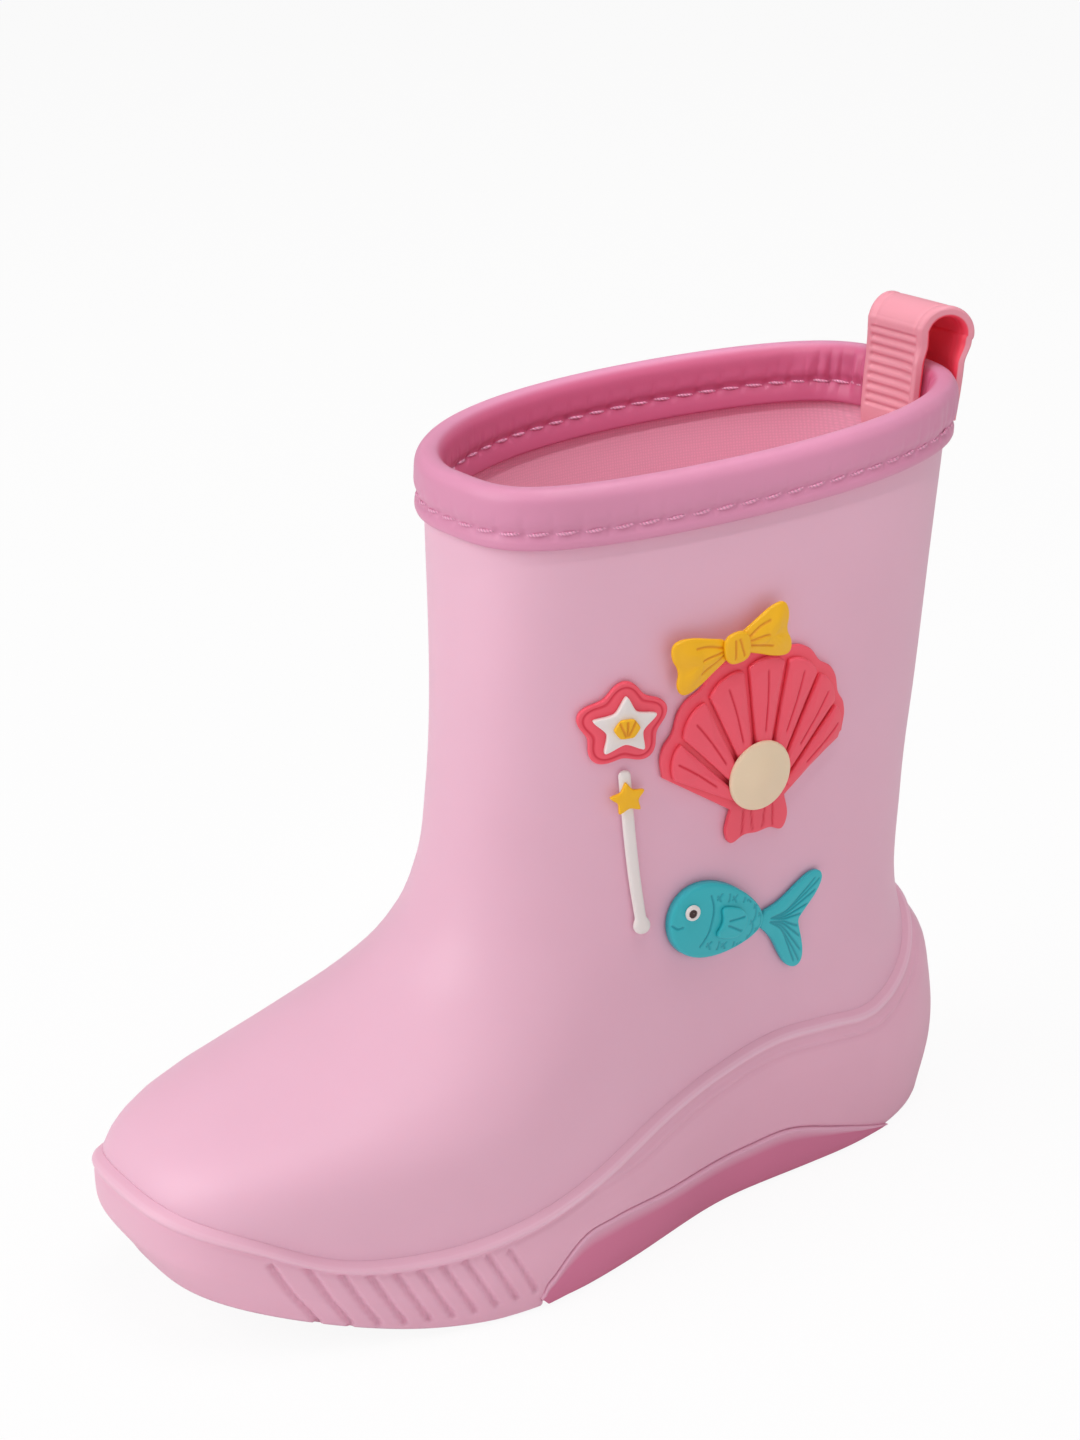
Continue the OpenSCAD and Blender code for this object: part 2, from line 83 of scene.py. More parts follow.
def curve(points, x):
    # smooth line through given points, with slopes taken from the neighbours
    px, py = np.array(points, float).T
    gap = np.diff(px)
    slope = np.diff(py) / gap
    tangent = np.empty(len(px))
    tangent[0], tangent[-1] = slope[0], slope[-1]
    tangent[1:-1] = (slope[:-1] * gap[1:] + slope[1:] * gap[:-1]) / (px[2:] - px[:-2])
    x = np.clip(x, px[0], px[-1])
    i = np.clip(np.searchsorted(px, x, side="right") - 1, 0, len(px) - 2)
    h = gap[i]
    t = (x - px[i]) / h
    return (
        (2 * t**3 - 3 * t**2 + 1) * py[i]
        + (t**3 - 2 * t**2 + t) * h * tangent[i]
        + (3 * t**2 - 2 * t**3) * py[i + 1]
        + (t**3 - t**2) * h * tangent[i + 1]
    )


def ease(t):
    t = np.clip(t, 0, 1)
    return t * t * (3 - 2 * t)


def mix(a, b, t):
    return a * (1 - t) + b * t


def hump(x, width):
    # 1 at x = 0, falling smoothly to 0 at the width
    return 1 - ease(np.abs(x) / width)


def newPiece(name, points, faces, material, node, slot, body="boot"):
    mesh = bpy.data.meshes.new(name)
    mesh.from_pydata((np.asarray(points) * millimetre).tolist(), [], faces)
    mesh.update()
    piece = bpy.data.objects.new(name, mesh)
    bpy.context.scene.collection.objects.link(piece)
    mesh.shade_smooth()
    mesh.materials.append(material)
    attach(piece, body)
    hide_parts(node)
    return piece


def bandFaces(count, rows):
    # quads between neighbouring rings of count points
    faces = []
    for row in range(rows - 1):
        for i in range(count):
            a, b = row * count + i, row * count + (i + 1) % count
            faces.append((a, b, b + count, a + count))
    return faces


def markLinesAndPaintedLight(piece, amount):
    # how far each point takes its material's second colour: real line colour on the badges and the tread's
    # border, a painted highlight on the sole's rim bead, painted shade on the collar tape's inside and the
    # pull loop's inner face
    layer = piece.data.attributes.new("lines_and_painted_light", "FLOAT", "POINT")
    layer.data.foreach_set("value", np.asarray(amount, dtype=np.float32))


def closedLoft(rings, firstCap, lastCap):
    # closed shell through rings, with a point at each end
    count = len(rings[0])
    faces = bandFaces(count, len(rings))
    base = count * len(rings)
    top = base - count
    for i in range(count):
        faces.append((base, (i + 1) % count, i))
        faces.append((base + 1, top + i, top + (i + 1) % count))
    return np.vstack([np.vstack(rings), [firstCap], [lastCap]]), faces


def loftPiece(name, rings, firstCap, lastCap, material, **labels):
    return newPiece(name, *closedLoft(rings, firstCap, lastCap), material, **labels)


def runAlong(points):
    # distance walked along a line, at each of its points
    return np.concatenate([[0], np.cumsum(np.linalg.norm(np.diff(points, axis=0), axis=1))])


def unit(v):
    return v / np.linalg.norm(v, axis=-1, keepdims=True)


def fullTurn(count):
    return np.linspace(0, 2 * math.pi, count, endpoint=False)


def signedPower(v, power):
    return np.sign(v) * np.abs(v) ** power


# the boot's last: the surface that every piece is built on, in millimetres


def nodeBox(node):
    # a node's corners in millimetres
    return [np.array(corner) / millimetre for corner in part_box(node)]


last = {
    "collarRise": 3.5,  # the collar is this much higher at the heel
    "height": nodeBox("collar_binding")[1][2] - 3.5,
    "ball": 37,  # half widths of the foot and the shaft
    "ankle": 27.7,
    "topOut": 30,
    "topIn": 36,
    "shaftFrom": 60,
    "footTo": 25,
    "footBlend": 60,
    "powerFoot": 0.64,  # how square the sections are: smaller is squarer
    "powerAnkle": (0.89, 0.78),  # toe side, heel side
    "powerOut": (0.5, 0.85),
    "powerIn": (1.05, 0.55),
    "toeIn": 6,
    "toeInFrom": -17,
    "front": [  # height, place along the foot
        (0, -79.5), (10, -84.5), (20, -88.5), (28, -89), (34, -82.5), (40, -65.5), (46, -49.5),
        (52, -38.5), (60, -30.5), (70, -26), (85, -23.5), (155, -21.5),
    ],
    "back": [(0, 85.6), (12, 88.8), (30, 86.2), (50, 80), (70, 81.5), (90, 84), (120, 87), (155, 91)],
    # share of the ball's width along the foot
    "plan": [(-92, 0.97), (-68, 0.985), (-36, 1), (22, 0.73), (64, 0.83), (97, 0.83)],
}


def share(a):
    return (1 - np.cos(a)) / 2


def lastPoint(z, a):
    # a turns from the toe over the outer side to the heel
    z, a = np.broadcast_arrays(np.asarray(z, float), np.asarray(a, float))
    q = share(a)
    y = mix(curve(last["front"], z), curve(last["back"], z), q)
    outer = np.sin(a) >= 0
    rise = ease((z - last["shaftFrom"]) / (last["height"] - last["shaftFrom"]))
    s = ease((z - last["footTo"]) / last["footBlend"])
    topPower = np.where(outer, mix(*last["powerOut"], q), mix(*last["powerIn"], q))
    power = mix(last["powerFoot"], mix(mix(*last["powerAnkle"], q), topPower, rise), s)
    shaftWidth = mix(last["ankle"], np.where(outer, last["topOut"], last["topIn"]), rise)
    width = mix(curve(last["plan"], y) * last["ball"], shaftWidth, s)
    toeIn = -last["toeIn"] * np.clip((last["toeInFrom"] - y) / 70, 0, 1.3) ** 1.5 * (1 - s)
    x = toeIn + width * np.sign(np.sin(a)) * np.abs(np.sin(a)) ** power
    return np.stack([x, y, z], -1)


def lastNormal(z, a):
    step, lift = math.radians(1.5), 0.5
    across = lastPoint(z, a + step) - lastPoint(z, a - step)
    along = lastPoint(np.asarray(z) + lift, a) - lastPoint(np.asarray(z) - lift, a)
    return unit(np.cross(across, along))


def skin(z, a, off=0):
    off = np.asarray(off, float)
    return lastPoint(z, a) + lastNormal(z, a) * off[..., None]


def collarTop(a):
    return last["height"] + last["collarRise"] * share(a)


def evenAngles(count, height, off=0):
    # angles that space count points evenly around each half of the ring at the given height
    steps = 2880
    fine = np.linspace(0, 2 * math.pi, steps + 1)
    z = height(fine) if callable(height) else np.full_like(fine, height)
    run = runAlong(skin(z, fine, np.full_like(fine, off)))
    half, middle = count // 2, run[steps // 2]
    outer = np.interp(np.linspace(0, middle, half, endpoint=False), run, fine)
    inner = np.interp(np.linspace(middle, run[-1], count - half, endpoint=False), run, fine)
    return np.concatenate([outer, inner])


def sideAngle(y, z):
    f, b = curve(last["front"], z), curve(last["back"], z)
    return np.arccos(1 - 2 * np.clip((y - f) / (b - f), 0.001, 0.999))


def onSide(points, off):
    # places on the outer side: (along the foot, height) pairs
    points = np.asarray(points, float)
    return skin(points[..., 1], sideAngle(points[..., 0], points[..., 1]), off)


# materials


def addNode(tree, kind, sockets=None, **settings):
    n = tree.nodes.new(kind)
    for key, value in settings.items():
        setattr(n, key, value)
    for key, value in (sockets or {}).items():
        n.inputs[key].default_value = value
    return n


def srgb(code):
    parts = [int(code[i:i + 2], 16) / 255 for i in (1, 3, 5)]
    return tuple(c / 12.92 if c <= 0.04045 else ((c + 0.055) / 1.055) ** 2.4 for c in parts) + (1,)


def tinted(colour, k):
    return tuple(min(1, c * k) for c in colour[:3]) + (1,)


def startMaterial(name):
    material = bpy.data.materials.new(name)
    material.use_nodes = True
    tree = material.node_tree
    shader = tree.nodes["Principled BSDF"]
    place = addNode(tree, "ShaderNodeTexCoord")
    return material, tree, shader, place.outputs["Object"]


def noiseAt(tree, place, size, detail=3.0, roughness=0.5):
    n = addNode(tree, "ShaderNodeTexNoise", {"Scale": 1 / size, "Detail": detail, "Roughness": roughness})
    tree.links.new(place, n.inputs["Vector"])
    return n.outputs["Fac"]


def ramp(tree, source, stops):
    n = tree.nodes.new("ShaderNodeValToRGB")
    n.color_ramp.elements[0].position, n.color_ramp.elements[0].color = stops[0]
    n.color_ramp.elements[1].position, n.color_ramp.elements[1].color = stops[-1]
    for position, colour in stops[1:-1]:
        n.color_ramp.elements.new(position).color = colour
    tree.links.new(source, n.inputs["Fac"])
    return n.outputs["Color"]


def mapRange(tree, source, low, high):
    n = addNode(tree, "ShaderNodeMapRange", {"To Min": low, "To Max": high})
    tree.links.new(source, n.inputs["Value"])
    return n.outputs["Result"]


def addBump(tree, shader, source, strength, depth, below=None):
    n = addNode(tree, "ShaderNodeBump", {"Strength": strength, "Distance": depth})
    tree.links.new(source, n.inputs["Height"])
    if below:
        tree.links.new(below, n.inputs["Normal"])
    tree.links.new(n.outputs["Normal"], shader.inputs["Normal"])
    return n.outputs["Normal"]


def waveAt(tree, place, direction, sockets):
    n = addNode(tree, "ShaderNodeTexWave", sockets, wave_type="BANDS", bands_direction=direction)
    tree.links.new(place, n.inputs["Vector"])
    return n.outputs["Fac"]


def softPvc(name, colour, spread=0.05, rough=(0.36, 0.46), glow=0.0, grain=0.35, line=None):
    # moulded PVC or rubber: cloudy colour, satin roughness, a faint moulded grain;
    # line is the second colour, where a piece is marked: real line colour in badge lines and the tread's
    # border, painted highlight on the sole's rim bead, painted shade on the collar tape's inside and the pull
    # loop's inner face
    colour = srgb(colour)
    material, tree, shader, place = startMaterial(name)
    cloud = noiseAt(tree, place, 0.035, 2)
    shades = ramp(tree, cloud, [(0.3, tinted(colour, 1 - spread)), (0.7, tinted(colour, 1 + spread))])
    if line:
        mark = addNode(tree, "ShaderNodeAttribute", attribute_name="lines_and_painted_light")
        linesAndPaintedLight = addNode(tree, "ShaderNodeMix", data_type="RGBA")
        # the mix below lays real line colour or painted light and shade, whichever the piece's marks ask for
        tree.links.new(mark.outputs["Fac"], linesAndPaintedLight.inputs["Factor"])
        tree.links.new(shades, linesAndPaintedLight.inputs[6])
        linesAndPaintedLight.inputs[7].default_value = srgb(line)
        shades = linesAndPaintedLight.outputs[2]
    tree.links.new(shades, shader.inputs["Base Color"])
    tree.links.new(mapRange(tree, noiseAt(tree, place, 0.012, 4), *rough), shader.inputs["Roughness"])
    waves = addBump(tree, shader, noiseAt(tree, place, 0.016, 2), 0.12, 0.0004)
    addBump(tree, shader, noiseAt(tree, place, 0.0006, 3, 0.6), grain, 0.00003, waves)
    shader.inputs["Subsurface Weight"].default_value = glow
    shader.inputs["Subsurface Radius"].default_value = (0.9, 0.45, 0.4)
    shader.inputs["Subsurface Scale"].default_value = 0.004
    return material


def knitFabric(name, colour, pitch=0.0011, depth=0.00025):
    # weft knit: rows of small loops from two crossed waves
    colour = srgb(colour)
    material, tree, shader, place = startMaterial(name)
    wave = {"Scale": 0.314 / pitch, "Distortion": 2.6, "Detail": 3, "Detail Scale": 2.5}
    rows, columns = waveAt(tree, place, "Z", wave), waveAt(tree, place, "Y", wave)
    loops = addNode(tree, "ShaderNodeMath", operation="MULTIPLY")
    tree.links.new(rows, loops.inputs[0])
    tree.links.new(columns, loops.inputs[1])
    stops = [(at, tinted(colour, k)) for at, k in ((0.0, 0.93), (0.35, 0.99), (1.0, 1.04))]
    tree.links.new(ramp(tree, loops.outputs[0], stops), shader.inputs["Base Color"])
    tree.links.new(mapRange(tree, noiseAt(tree, place, 0.004), 0.8, 0.95), shader.inputs["Roughness"])
    addBump(tree, shader, loops.outputs[0], 0.3, depth)
    shader.inputs["Sheen Weight"].default_value = 0.25
    shader.inputs["Sheen Roughness"].default_value = 0.5
    return material


def threadMaterial(name, colour):
    colour = srgb(colour)
    material, tree, shader, place = startMaterial(name)
    twist = waveAt(tree, place, "DIAGONAL", {"Scale": 700})
    stops = [(0.0, tinted(colour, 0.8)), (1.0, tinted(colour, 1.12))]
    tree.links.new(ramp(tree, twist, stops), shader.inputs["Base Color"])
    tree.links.new(mapRange(tree, noiseAt(tree, place, 0.001), 0.55, 0.7), shader.inputs["Roughness"])
    addBump(tree, shader, twist, 0.5, 0.0001)
    return material


upperPvc = softPvc("upper_blush_pvc", "#f0bcd1", 0.02, (0.42, 0.5), 0.12)
# the sole's lighter second colour is a painted highlight on the rim bead
solePvc = softPvc("sole_blush_rubber", "#edb7cc", 0.03, (0.4, 0.5), 0.08, line="#f7cfe0")
treadRubber = softPvc("tread_rose_rubber", "#d97c9f", 0.05, (0.45, 0.58), 0.03, 0.5, line="#eab4cb")
# the tape's darker second colour is painted shade on its inside, within the shaft
tapePvc = softPvc("binding_orchid_tape", "#de93b4", 0.04, (0.38, 0.5), 0.05, 0.5, line="#d4678e")
liningKnit = knitFabric("lining_rose_knit", "#fbb2cb", 0.0006, 0.00008)
# the loop's deep red second colour is painted shade on the band's inner face
loopRubber = softPvc("loop_salmon_rubber", "#f5a3b2", 0.03, (0.42, 0.52), 0.05, line="#ff4a62")
seamThread = threadMaterial("seam_pink_thread", "#e9a5c4")
foamRubber = softPvc("insole_foam", "#f3d5de", 0.04, (0.75, 0.9), 0.05, 1.0)
insoleKnit = knitFabric("insole_rose_knit", "#e08cab", 0.0014)
coralPvc = softPvc("badge_coral_pvc", "#ff5a6e", 0.04, (0.4, 0.5), 0.04, line="#e0183a")
creamPvc = softPvc("badge_cream_pvc", "#f5dfbd", 0.03, (0.34, 0.44), 0.08, line="#c9a478")
yellowPvc = softPvc("badge_yellow_pvc", "#ffbf05", 0.04, (0.4, 0.5), 0.03, line="#e89400")
whitePvc = softPvc("badge_white_pvc", "#f1ece8", 0.02, (0.38, 0.48), 0.04, line="#3d2420")
tealPvc = softPvc("badge_teal_pvc", "#2fbfc9", 0.05, (0.4, 0.5), 0.03, line="#0f9eae")
print("materials made")

# upper and lining: closed socks between two offsets

sock = {
    "floor": nodeBox("upper")[0][2],
    "wall": 1.35,
    "liningWall": 0.75,
    "bond": 0.15,
    "topDrop": 2.05,
    "stretchFrom": 78,  # from here up the levels follow the sloping collar
    "topLevel": 138.0,
    "around": 132,
    "levels": 58,
}


def sockRings(off, bottom, corner):
    count, bend, top = sock["around"], sock["stretchFrom"], sock["topLevel"]
    rings = []
    for inset, lift in ((-2.2, 0), (-1, 0.08), (-0.3, 0.3), (0, 1)):
        z = bottom + corner
        a = evenAngles(count, z)
        p = skin(z, a, np.full(count, off + inset * corner))
        p[:, 2] = bottom + lift * corner
        rings.append(p)
    for row in np.linspace(0, 1, sock["levels"]):
        z = mix(bottom + corner + 2, top, row)

        def height(a, z=z):
            collar = bend + (z - bend) / (top - bend) * (collarTop(a) - sock["topDrop"] - bend)
            return np.where(z > bend, collar, z)

        a = evenAngles(count, height)
        rings.append(skin(height(a), a, np.full(count, off)))
    return rings


def addSock(name, outOff, inOff, bottom, outCorner, inCorner, material, node, slot):
    floor = outOff - inOff
    rings = sockRings(outOff, bottom, outCorner) + sockRings(inOff, bottom + floor, inCorner)[::-1]
    return loftPiece(name, rings, (0, 0, bottom), (0, 0, bottom + floor), material, node=node, slot=slot)


addSock("boot_upper", 0, -sock["wall"], sock["floor"], 4, 2.4, upperPvc, "upper", "upper_rubber")
liningOut = sock["wall"] + sock["bond"]
liningIn = liningOut + sock["liningWall"]
addSock(
    "knit_lining", -liningOut, -liningIn, sock["floor"] + liningOut, 2.2, 1.2,
    liningKnit, "lining", "lining_knit",
)
print("upper and lining built")

# sole wall: rim bead, toe bumper, heel counter and the slanted grooves at the ball

soleWall = {
    "thick": 3.1,
    "topThick": 1.25,
    "fullAt": 9,  # depth under the rim where the wall has its full thickness
    "bead": 0.42,
    "secondLine": 0.34,
    "rim": [  # share of the way from toe to heel, height
        (0, 27), (0.06, 23), (0.13, 17), (0.22, 15.5), (0.33, 17.5), (0.42, 20.5), (0.54, 26),
        (0.62, 29), (0.71, 31.5), (0.78, 30.5), (0.86, 29), (0.93, 34), (0.98, 42), (1, 45),
    ],
    "lowEdge": [  # place along the foot, height
        (-29.6, 0.4), (-28.4, 3.2), (-25.5, 6), (-17, 11.8), (-11, 12), (6, 10.3), (26, 10.2), (38, 10.3),
        (49, 6.9), (66, 0.4),
    ],
    "spring": 8.6,  # rise of the sole at the toe tip
    "toeTuck": 1.8,
    "springFrom": 0.26,
    "springPower": 1.5,
    "heelTuck": 1.3,
    "well": nodeBox("sole_wall")[0][2] + 9.3,
    "recess": 5.5,
    "innerOff": -0.2,
    "rimBand": 6.2,  # height under the rim that takes the bead and the lines
    "rimShare": 0.6,  # most of the wall that this band may use
    "rowGap": 0.26,
    "rows": 26,
    "grooves": 10,
    "grooveWidth": 0.9,
    "grooveDepth": 1.0,
    "around": 840,
}


def rimHeight(a):
    return curve(soleWall["rim"], share(a))


def springHeight(q):
    start = soleWall["springFrom"]
    return soleWall["spring"] * np.clip((start - q) / start, 0, 1) ** soleWall["springPower"]


def lowHeight(a):
    q = share(a)
    y = mix(curve(last["front"], 4), curve(last["back"], 4), q)
    return curve(soleWall["lowEdge"], y) + springHeight(q)


def distanceTo(points, line):
    # from each point to the nearest place on the line
    best = np.full(len(points), 1e9)
    for start, end in zip(line[:-1], line[1:]):
        d = end - start
        t = np.clip(((points - start) @ d) / (d @ d), 0, 1)
        best = np.minimum(best, np.linalg.norm(points - start - t[:, None] * d, axis=1))
    return best


def ballGrooves():
    # each groove runs down and back from just under the rim, on both sides of the ball
    lines = []
    for t in np.linspace(0, 1, soleWall["grooves"]):
        topY, topZ = -74.8 + 40.3 * t**0.92, 18.6 - 10.5 * t + 5.5 * t * t
        footY, footZ = topY + 7.6 - 3.2 * t, 5.5 - 5 * t + 4.2 * t * t
        down = np.linspace(0, 1, 12)
        y, z = mix(topY, footY, down), mix(topZ, footZ, down)
        a = sideAngle(y, z)
        rim, low = rimHeight(a), lowHeight(a)
        off = wallOffset(a, rim - z, (z - low) / (rim - low))
        lines += [skin(z, side * a, off) for side in (1, -1)]
    return lines


def wallOffset(a, drop, height):
    # bead under the rim, then a second thin line that parts from it along the arch;
    # drop is measured from the rim in millimetres, height runs from 0 at the lower edge to 1
    q = share(a)
    bead = soleWall["bead"] * hump(drop - 0.8, 0.85)
    arch = ease((q - 0.4) / 0.1) * (1 - ease((q - 0.97) / 0.03))
    second = soleWall["secondLine"] * arch * hump(drop - mix(1.6, 3.3, arch), 0.8)
    crease = -0.14 * hump(drop - mix(1.75, 4.3, arch), 0.8)
    lower = ease((0.8 - height) / 0.8)
    plane = -soleWall["heelTuck"] * ease((q - 0.45) / 0.2) * lower
    plane = plane - soleWall["toeTuck"] * ease((0.2 - q) / 0.2) * lower
    full = mix(soleWall["topThick"], soleWall["thick"], ease(drop / soleWall["fullAt"]))
    return mix(full, soleWall["thick"], ease((0.3 - height) / 0.3)) + bead + second + crease + plane


def levelRing(a, off, height):
    # ring at its own height, with the plan of the lower edge
    p = skin(lowHeight(a), a, off)
    p[:, 2] = height
    return p


def cutGrooves(rings, a):
    marks = ballGrooves()
    for k, p in enumerate(rings):
        front = p[:, 1] < -20
        gap = np.full(len(a), 1e9)
        for line in marks:
            gap[front] = np.minimum(gap[front], distanceTo(p[front], line))
        ragged = 0.12 * np.sin(p[:, 2] * 5.1 + p[:, 1] * 1.7)
        sink = soleWall["grooveDepth"] * hump(gap, soleWall["grooveWidth"] + ragged)
        rings[k] = p - lastNormal(np.clip(p[:, 2], 1, 60), a) * sink[:, None]
    return rings


def addSoleWall():
    count, inside = soleWall["around"], np.full(soleWall["around"], soleWall["innerOff"])
    band, most = soleWall["rimBand"], soleWall["rimShare"]
    a = evenAngles(count, lambda t: mix(rimHeight(t), lowHeight(t), most), soleWall["thick"])
    rim, low = rimHeight(a), lowHeight(a)
    rings = [skin(mix(soleWall["well"], rim, t), a, inside) for t in (0, 0.25, 0.5, 0.75)]
    for off, drop in ((-0.2, -0.95), (0.12, -0.7), (0.5, -0.42), (0.9, -0.12), (1.22, 0.15)):
        rings.append(skin(rim - drop, a, np.full(count, off)))
    inner = len(rings)
    drops = np.arange(0.3, band, soleWall["rowGap"])
    for drop in drops:
        drop = np.minimum(drop, (rim - low) * most * drop / band)
        rings.append(skin(rim - drop, a, wallOffset(a, drop, (rim - drop - low) / (rim - low))))
    lastDrop = np.minimum(drops[-1], (rim - low) * most)
    for row in range(1, soleWall["rows"] + 1):
        height = mix((rim - lastDrop - low) / (rim - low), 0.035, row / soleWall["rows"])
        z = low + height * (rim - low)
        rings.append(skin(z, a, wallOffset(a, rim - z, height)))
    rings[inner + 6:] = cutGrooves(rings[inner + 6:], a)
    edge = wallOffset(a, rim - low, np.zeros(count))
    for inset, lift in ((0.12, 0.25), (0.4, 0.06), (0.9, 0)):
        rings.append(levelRing(a, edge - inset, low + lift))
    for z in (low, np.clip(low + 0.05, soleWall["recess"], soleWall["well"] - 1)):
        rings.append(levelRing(a, np.full(count, -0.1), z))
    # painted highlight: the rim bead takes the lighter colour, more so along the arch
    glow = 0.4 + 0.45 * ease((share(a) - 0.25) / 0.15)
    lit = [np.zeros(count)] * (inner - 1) + [0.7 * glow] + [glow * hump(drop - 0.8, 0.95) for drop in drops]
    lit += [np.zeros(count)] * (len(rings) - len(lit))
    piece = loftPiece(
        "sole_cup_wall", rings[::-1], (0, 0, soleWall["recess"]), (0, 0, soleWall["well"]), solePvc,
        node="sole_wall", slot="sole_rubber",
    )
    markLinesAndPaintedLight(piece, np.concatenate(lit[::-1] + [[0, 0]]))


addSoleWall()
print("sole wall built")

# tread: plate, chevron bars, plain panel and the dark edge that shows under the arch

tread = {
    "plateLow": 2.4,
    "plateTop": 5.35,
    "inset": 1.6,
    "plateFrom": -74,
    "bars": 15,
    "from": -68,
    "to": 80,
    "barWide": 4,
    "barTall": 2.6,
    "chevron": 8,
    "panel": (26, 30),
    "panelTall": 2.5,
    # strip under the arch
    "edgeLow": 0.4,
    "edgeRun": 0.8,
    "edgeEnd": 2.0,
    "heelEnd": 0.2,
    "edgeChisel": 1.8,
    "edgeProud": 0.15,
}


def solePlan(off, count=360):
    return skin(np.full(count, tread["edgeLow"]), fullTurn(count), np.full(count, off))[:, :2]


def planWidth(outline, y):
    # lowest and highest x of the outline at the given y
    half = len(outline) // 2
    one, other = outline[: half + 1], np.vstack([outline[half:], outline[:1]])[::-1]
    return np.interp(y, other[:, 1], other[:, 0]), np.interp(y, one[:, 1], one[:, 0])


def stack(parts):
    # several closed shells as one mesh
    points, faces = [], []
    for p, f in parts:
        base = sum(len(q) for q in points)
        points.append(np.asarray(p))
        faces += [tuple(base + i for i in face) for face in f]
    return np.vstack(points), faces


def toeRise(y):
    # the tread rises with the sole under the toe
    ground = last["front"][0][1]
    return springHeight((y - ground) / 165)


def treadPlate():
    low, high = tread["plateLow"], tread["plateTop"]
    rings = []
    for inset, z in ((0.5, low), (0.12, low + 0.1), (0, low + 0.4), (0, high - 0.15), (0.3, high)):
        p = solePlan(-tread["inset"] - inset)
        p[:, 1] = np.maximum(p[:, 1], tread["plateFrom"] + inset)
        rings.append(np.column_stack([p, z + toeRise(p[:, 1])]))
    return closedLoft(rings, (0, 0, low), (0, 0, high))


def treadBar(y):
    # one chevron across the sole, or nothing where the sole is too narrow
    outline = solePlan(-tread["inset"] - 0.8)
    low = float(toeRise(y + tread["chevron"] * 0.6))
    high, half = low + tread["barTall"], tread["barWide"] / 2
    x = np.linspace(-36, 36, 145)
    mid = y + tread["chevron"] * np.sqrt(np.abs(x / 37) ** 2 + 0.0016) + half
    left, right = planWidth(outline, mid)
    keep = (x > left + 0.8) & (x < right - 0.8)
    if keep.sum() < 12:
        return None
    x, mid = x[keep], mid[keep]
    section = [
        (-half - 0.15, high), (-half, low + 0.7), (-half + 0.2, low + 0.2), (-half + 0.65, low),
        (-half + 1.5, low + 0.18),
    ]
    section += [(-s, h) for s, h in section[::-1]]
    rings = []
    for i in range(len(x)):
        end = min(i, len(x) - 1 - i)
        lift = 0.5 * hump(end, 2) if end < 2 else 0
        rings.append(np.array([(x[i], mid[i] + s, min(high, h + lift)) for s, h in section]))
    return closedLoft([ring[::-1] for ring in rings], rings[0].mean(axis=0), rings[-1].mean(axis=0))


def treadPanel():
    # rounded block with a sunken face
    wide, long = tread["panel"]
    high = tread["panelTall"]
    t = fullTurn(96)
    c, s = signedPower(np.cos(t), 0.22), signedPower(np.sin(t), 0.22)
    rings = []
    for inset, z in ((0.6, 0), (0.2, 0.12), (0, 0.5), (0, high)):
        rings.append(np.column_stack([(wide / 2 - inset) * c, (long / 2 - inset) * s, np.full(96, z)]))
    inner = rings[0] * [0.86, 0.88, 1]
    sunk = inner * [0.97, 0.975, 1] + [0, 0, 0.35]
    return closedLoft([sunk, inner] + rings, (0, 0, 0.35), (0, 0, high))


def archLine(side):
    # places along the arch's lower edge, with short ends that run down to the tread
    a = side * np.linspace(0.3, 2.85, 900)
    top = lowHeight(a) - 0.02
    y = skin(top, a, np.full_like(a, soleWall["thick"]))[:, 1]
    endTall = np.where(y > 0, tread["heelEnd"], tread["edgeEnd"])
    keep = (springHeight(share(a)) < 0.02) & (top > tread["edgeLow"] + endTall * 1.35)
    top, y, endTall = top[keep], y[keep], endTall[keep]
    ends = []
    run = np.linspace(1, 0, 14)[:-1]
    for index, way in ((0, -1), (-1, 1)):
        drop = mix(top[index], tread["edgeLow"] + endTall[index], run**1.6)
        ends.append((y[index] + way * tread["edgeRun"] * run, drop))
    y = np.concatenate([ends[0][0], y, ends[1][0][::-1]])
    return y, np.concatenate([ends[0][1], top, ends[1][1][::-1]])


def archEdge(side):
    # strip from the sole's lower edge down to the tread, along one side of the arch
    y, top = archLine(side)
    level = np.full_like(y, 4)
    a = side * sideAngle(y, level)
    # it follows the lower edge of the wall, which is tucked in towards the heel
    tuck = wallOffset(a, rimHeight(a) - lowHeight(a), 0) - soleWall["thick"]
    proud = soleWall["thick"] + tread["edgeProud"]
    section = [(-2.4, 0), (proud - 0.7, 0), (proud - 0.2, 0.05), (proud, 0.14), (proud, 0.4), (proud, 0.7)]
    # the light border keeps its width: heights over 1 are millimetres down from the top edge, plus 1
    section += [
        (proud + 0.02, 1.95), (proud + 0.2, 1.8), (proud + 0.26, 1.55), (proud + 0.2, 1.3), (proud, 1.1),
        (proud - 0.6, 1), (0.3, 1), (-2.4, 0.4),
    ]
    tall = top - tread["edgeLow"]
    rings = []
    for off, t in section:
        z = tread["edgeLow"] + tall * t if t <= 1 else top - (t - 1) * np.minimum(1, tall / 3.5)
        foot = y + tread["edgeChisel"] * (1 - np.minimum(t, 1)) * ease((y.min() + 6 - y) / 6)
        p = skin(level, side * sideAngle(foot, level), off + tuck)
        p[:, 2] = z
        rings.append(p)
    strip = np.stack(rings, axis=1)[::side]
    points, faces = closedLoft(list(strip), strip[0].mean(axis=0), strip[-1].mean(axis=0))
    border = np.isin(np.arange(len(section)), range(6, 12))
    return points, faces, np.append(np.tile(border, len(strip)), [0, 0])


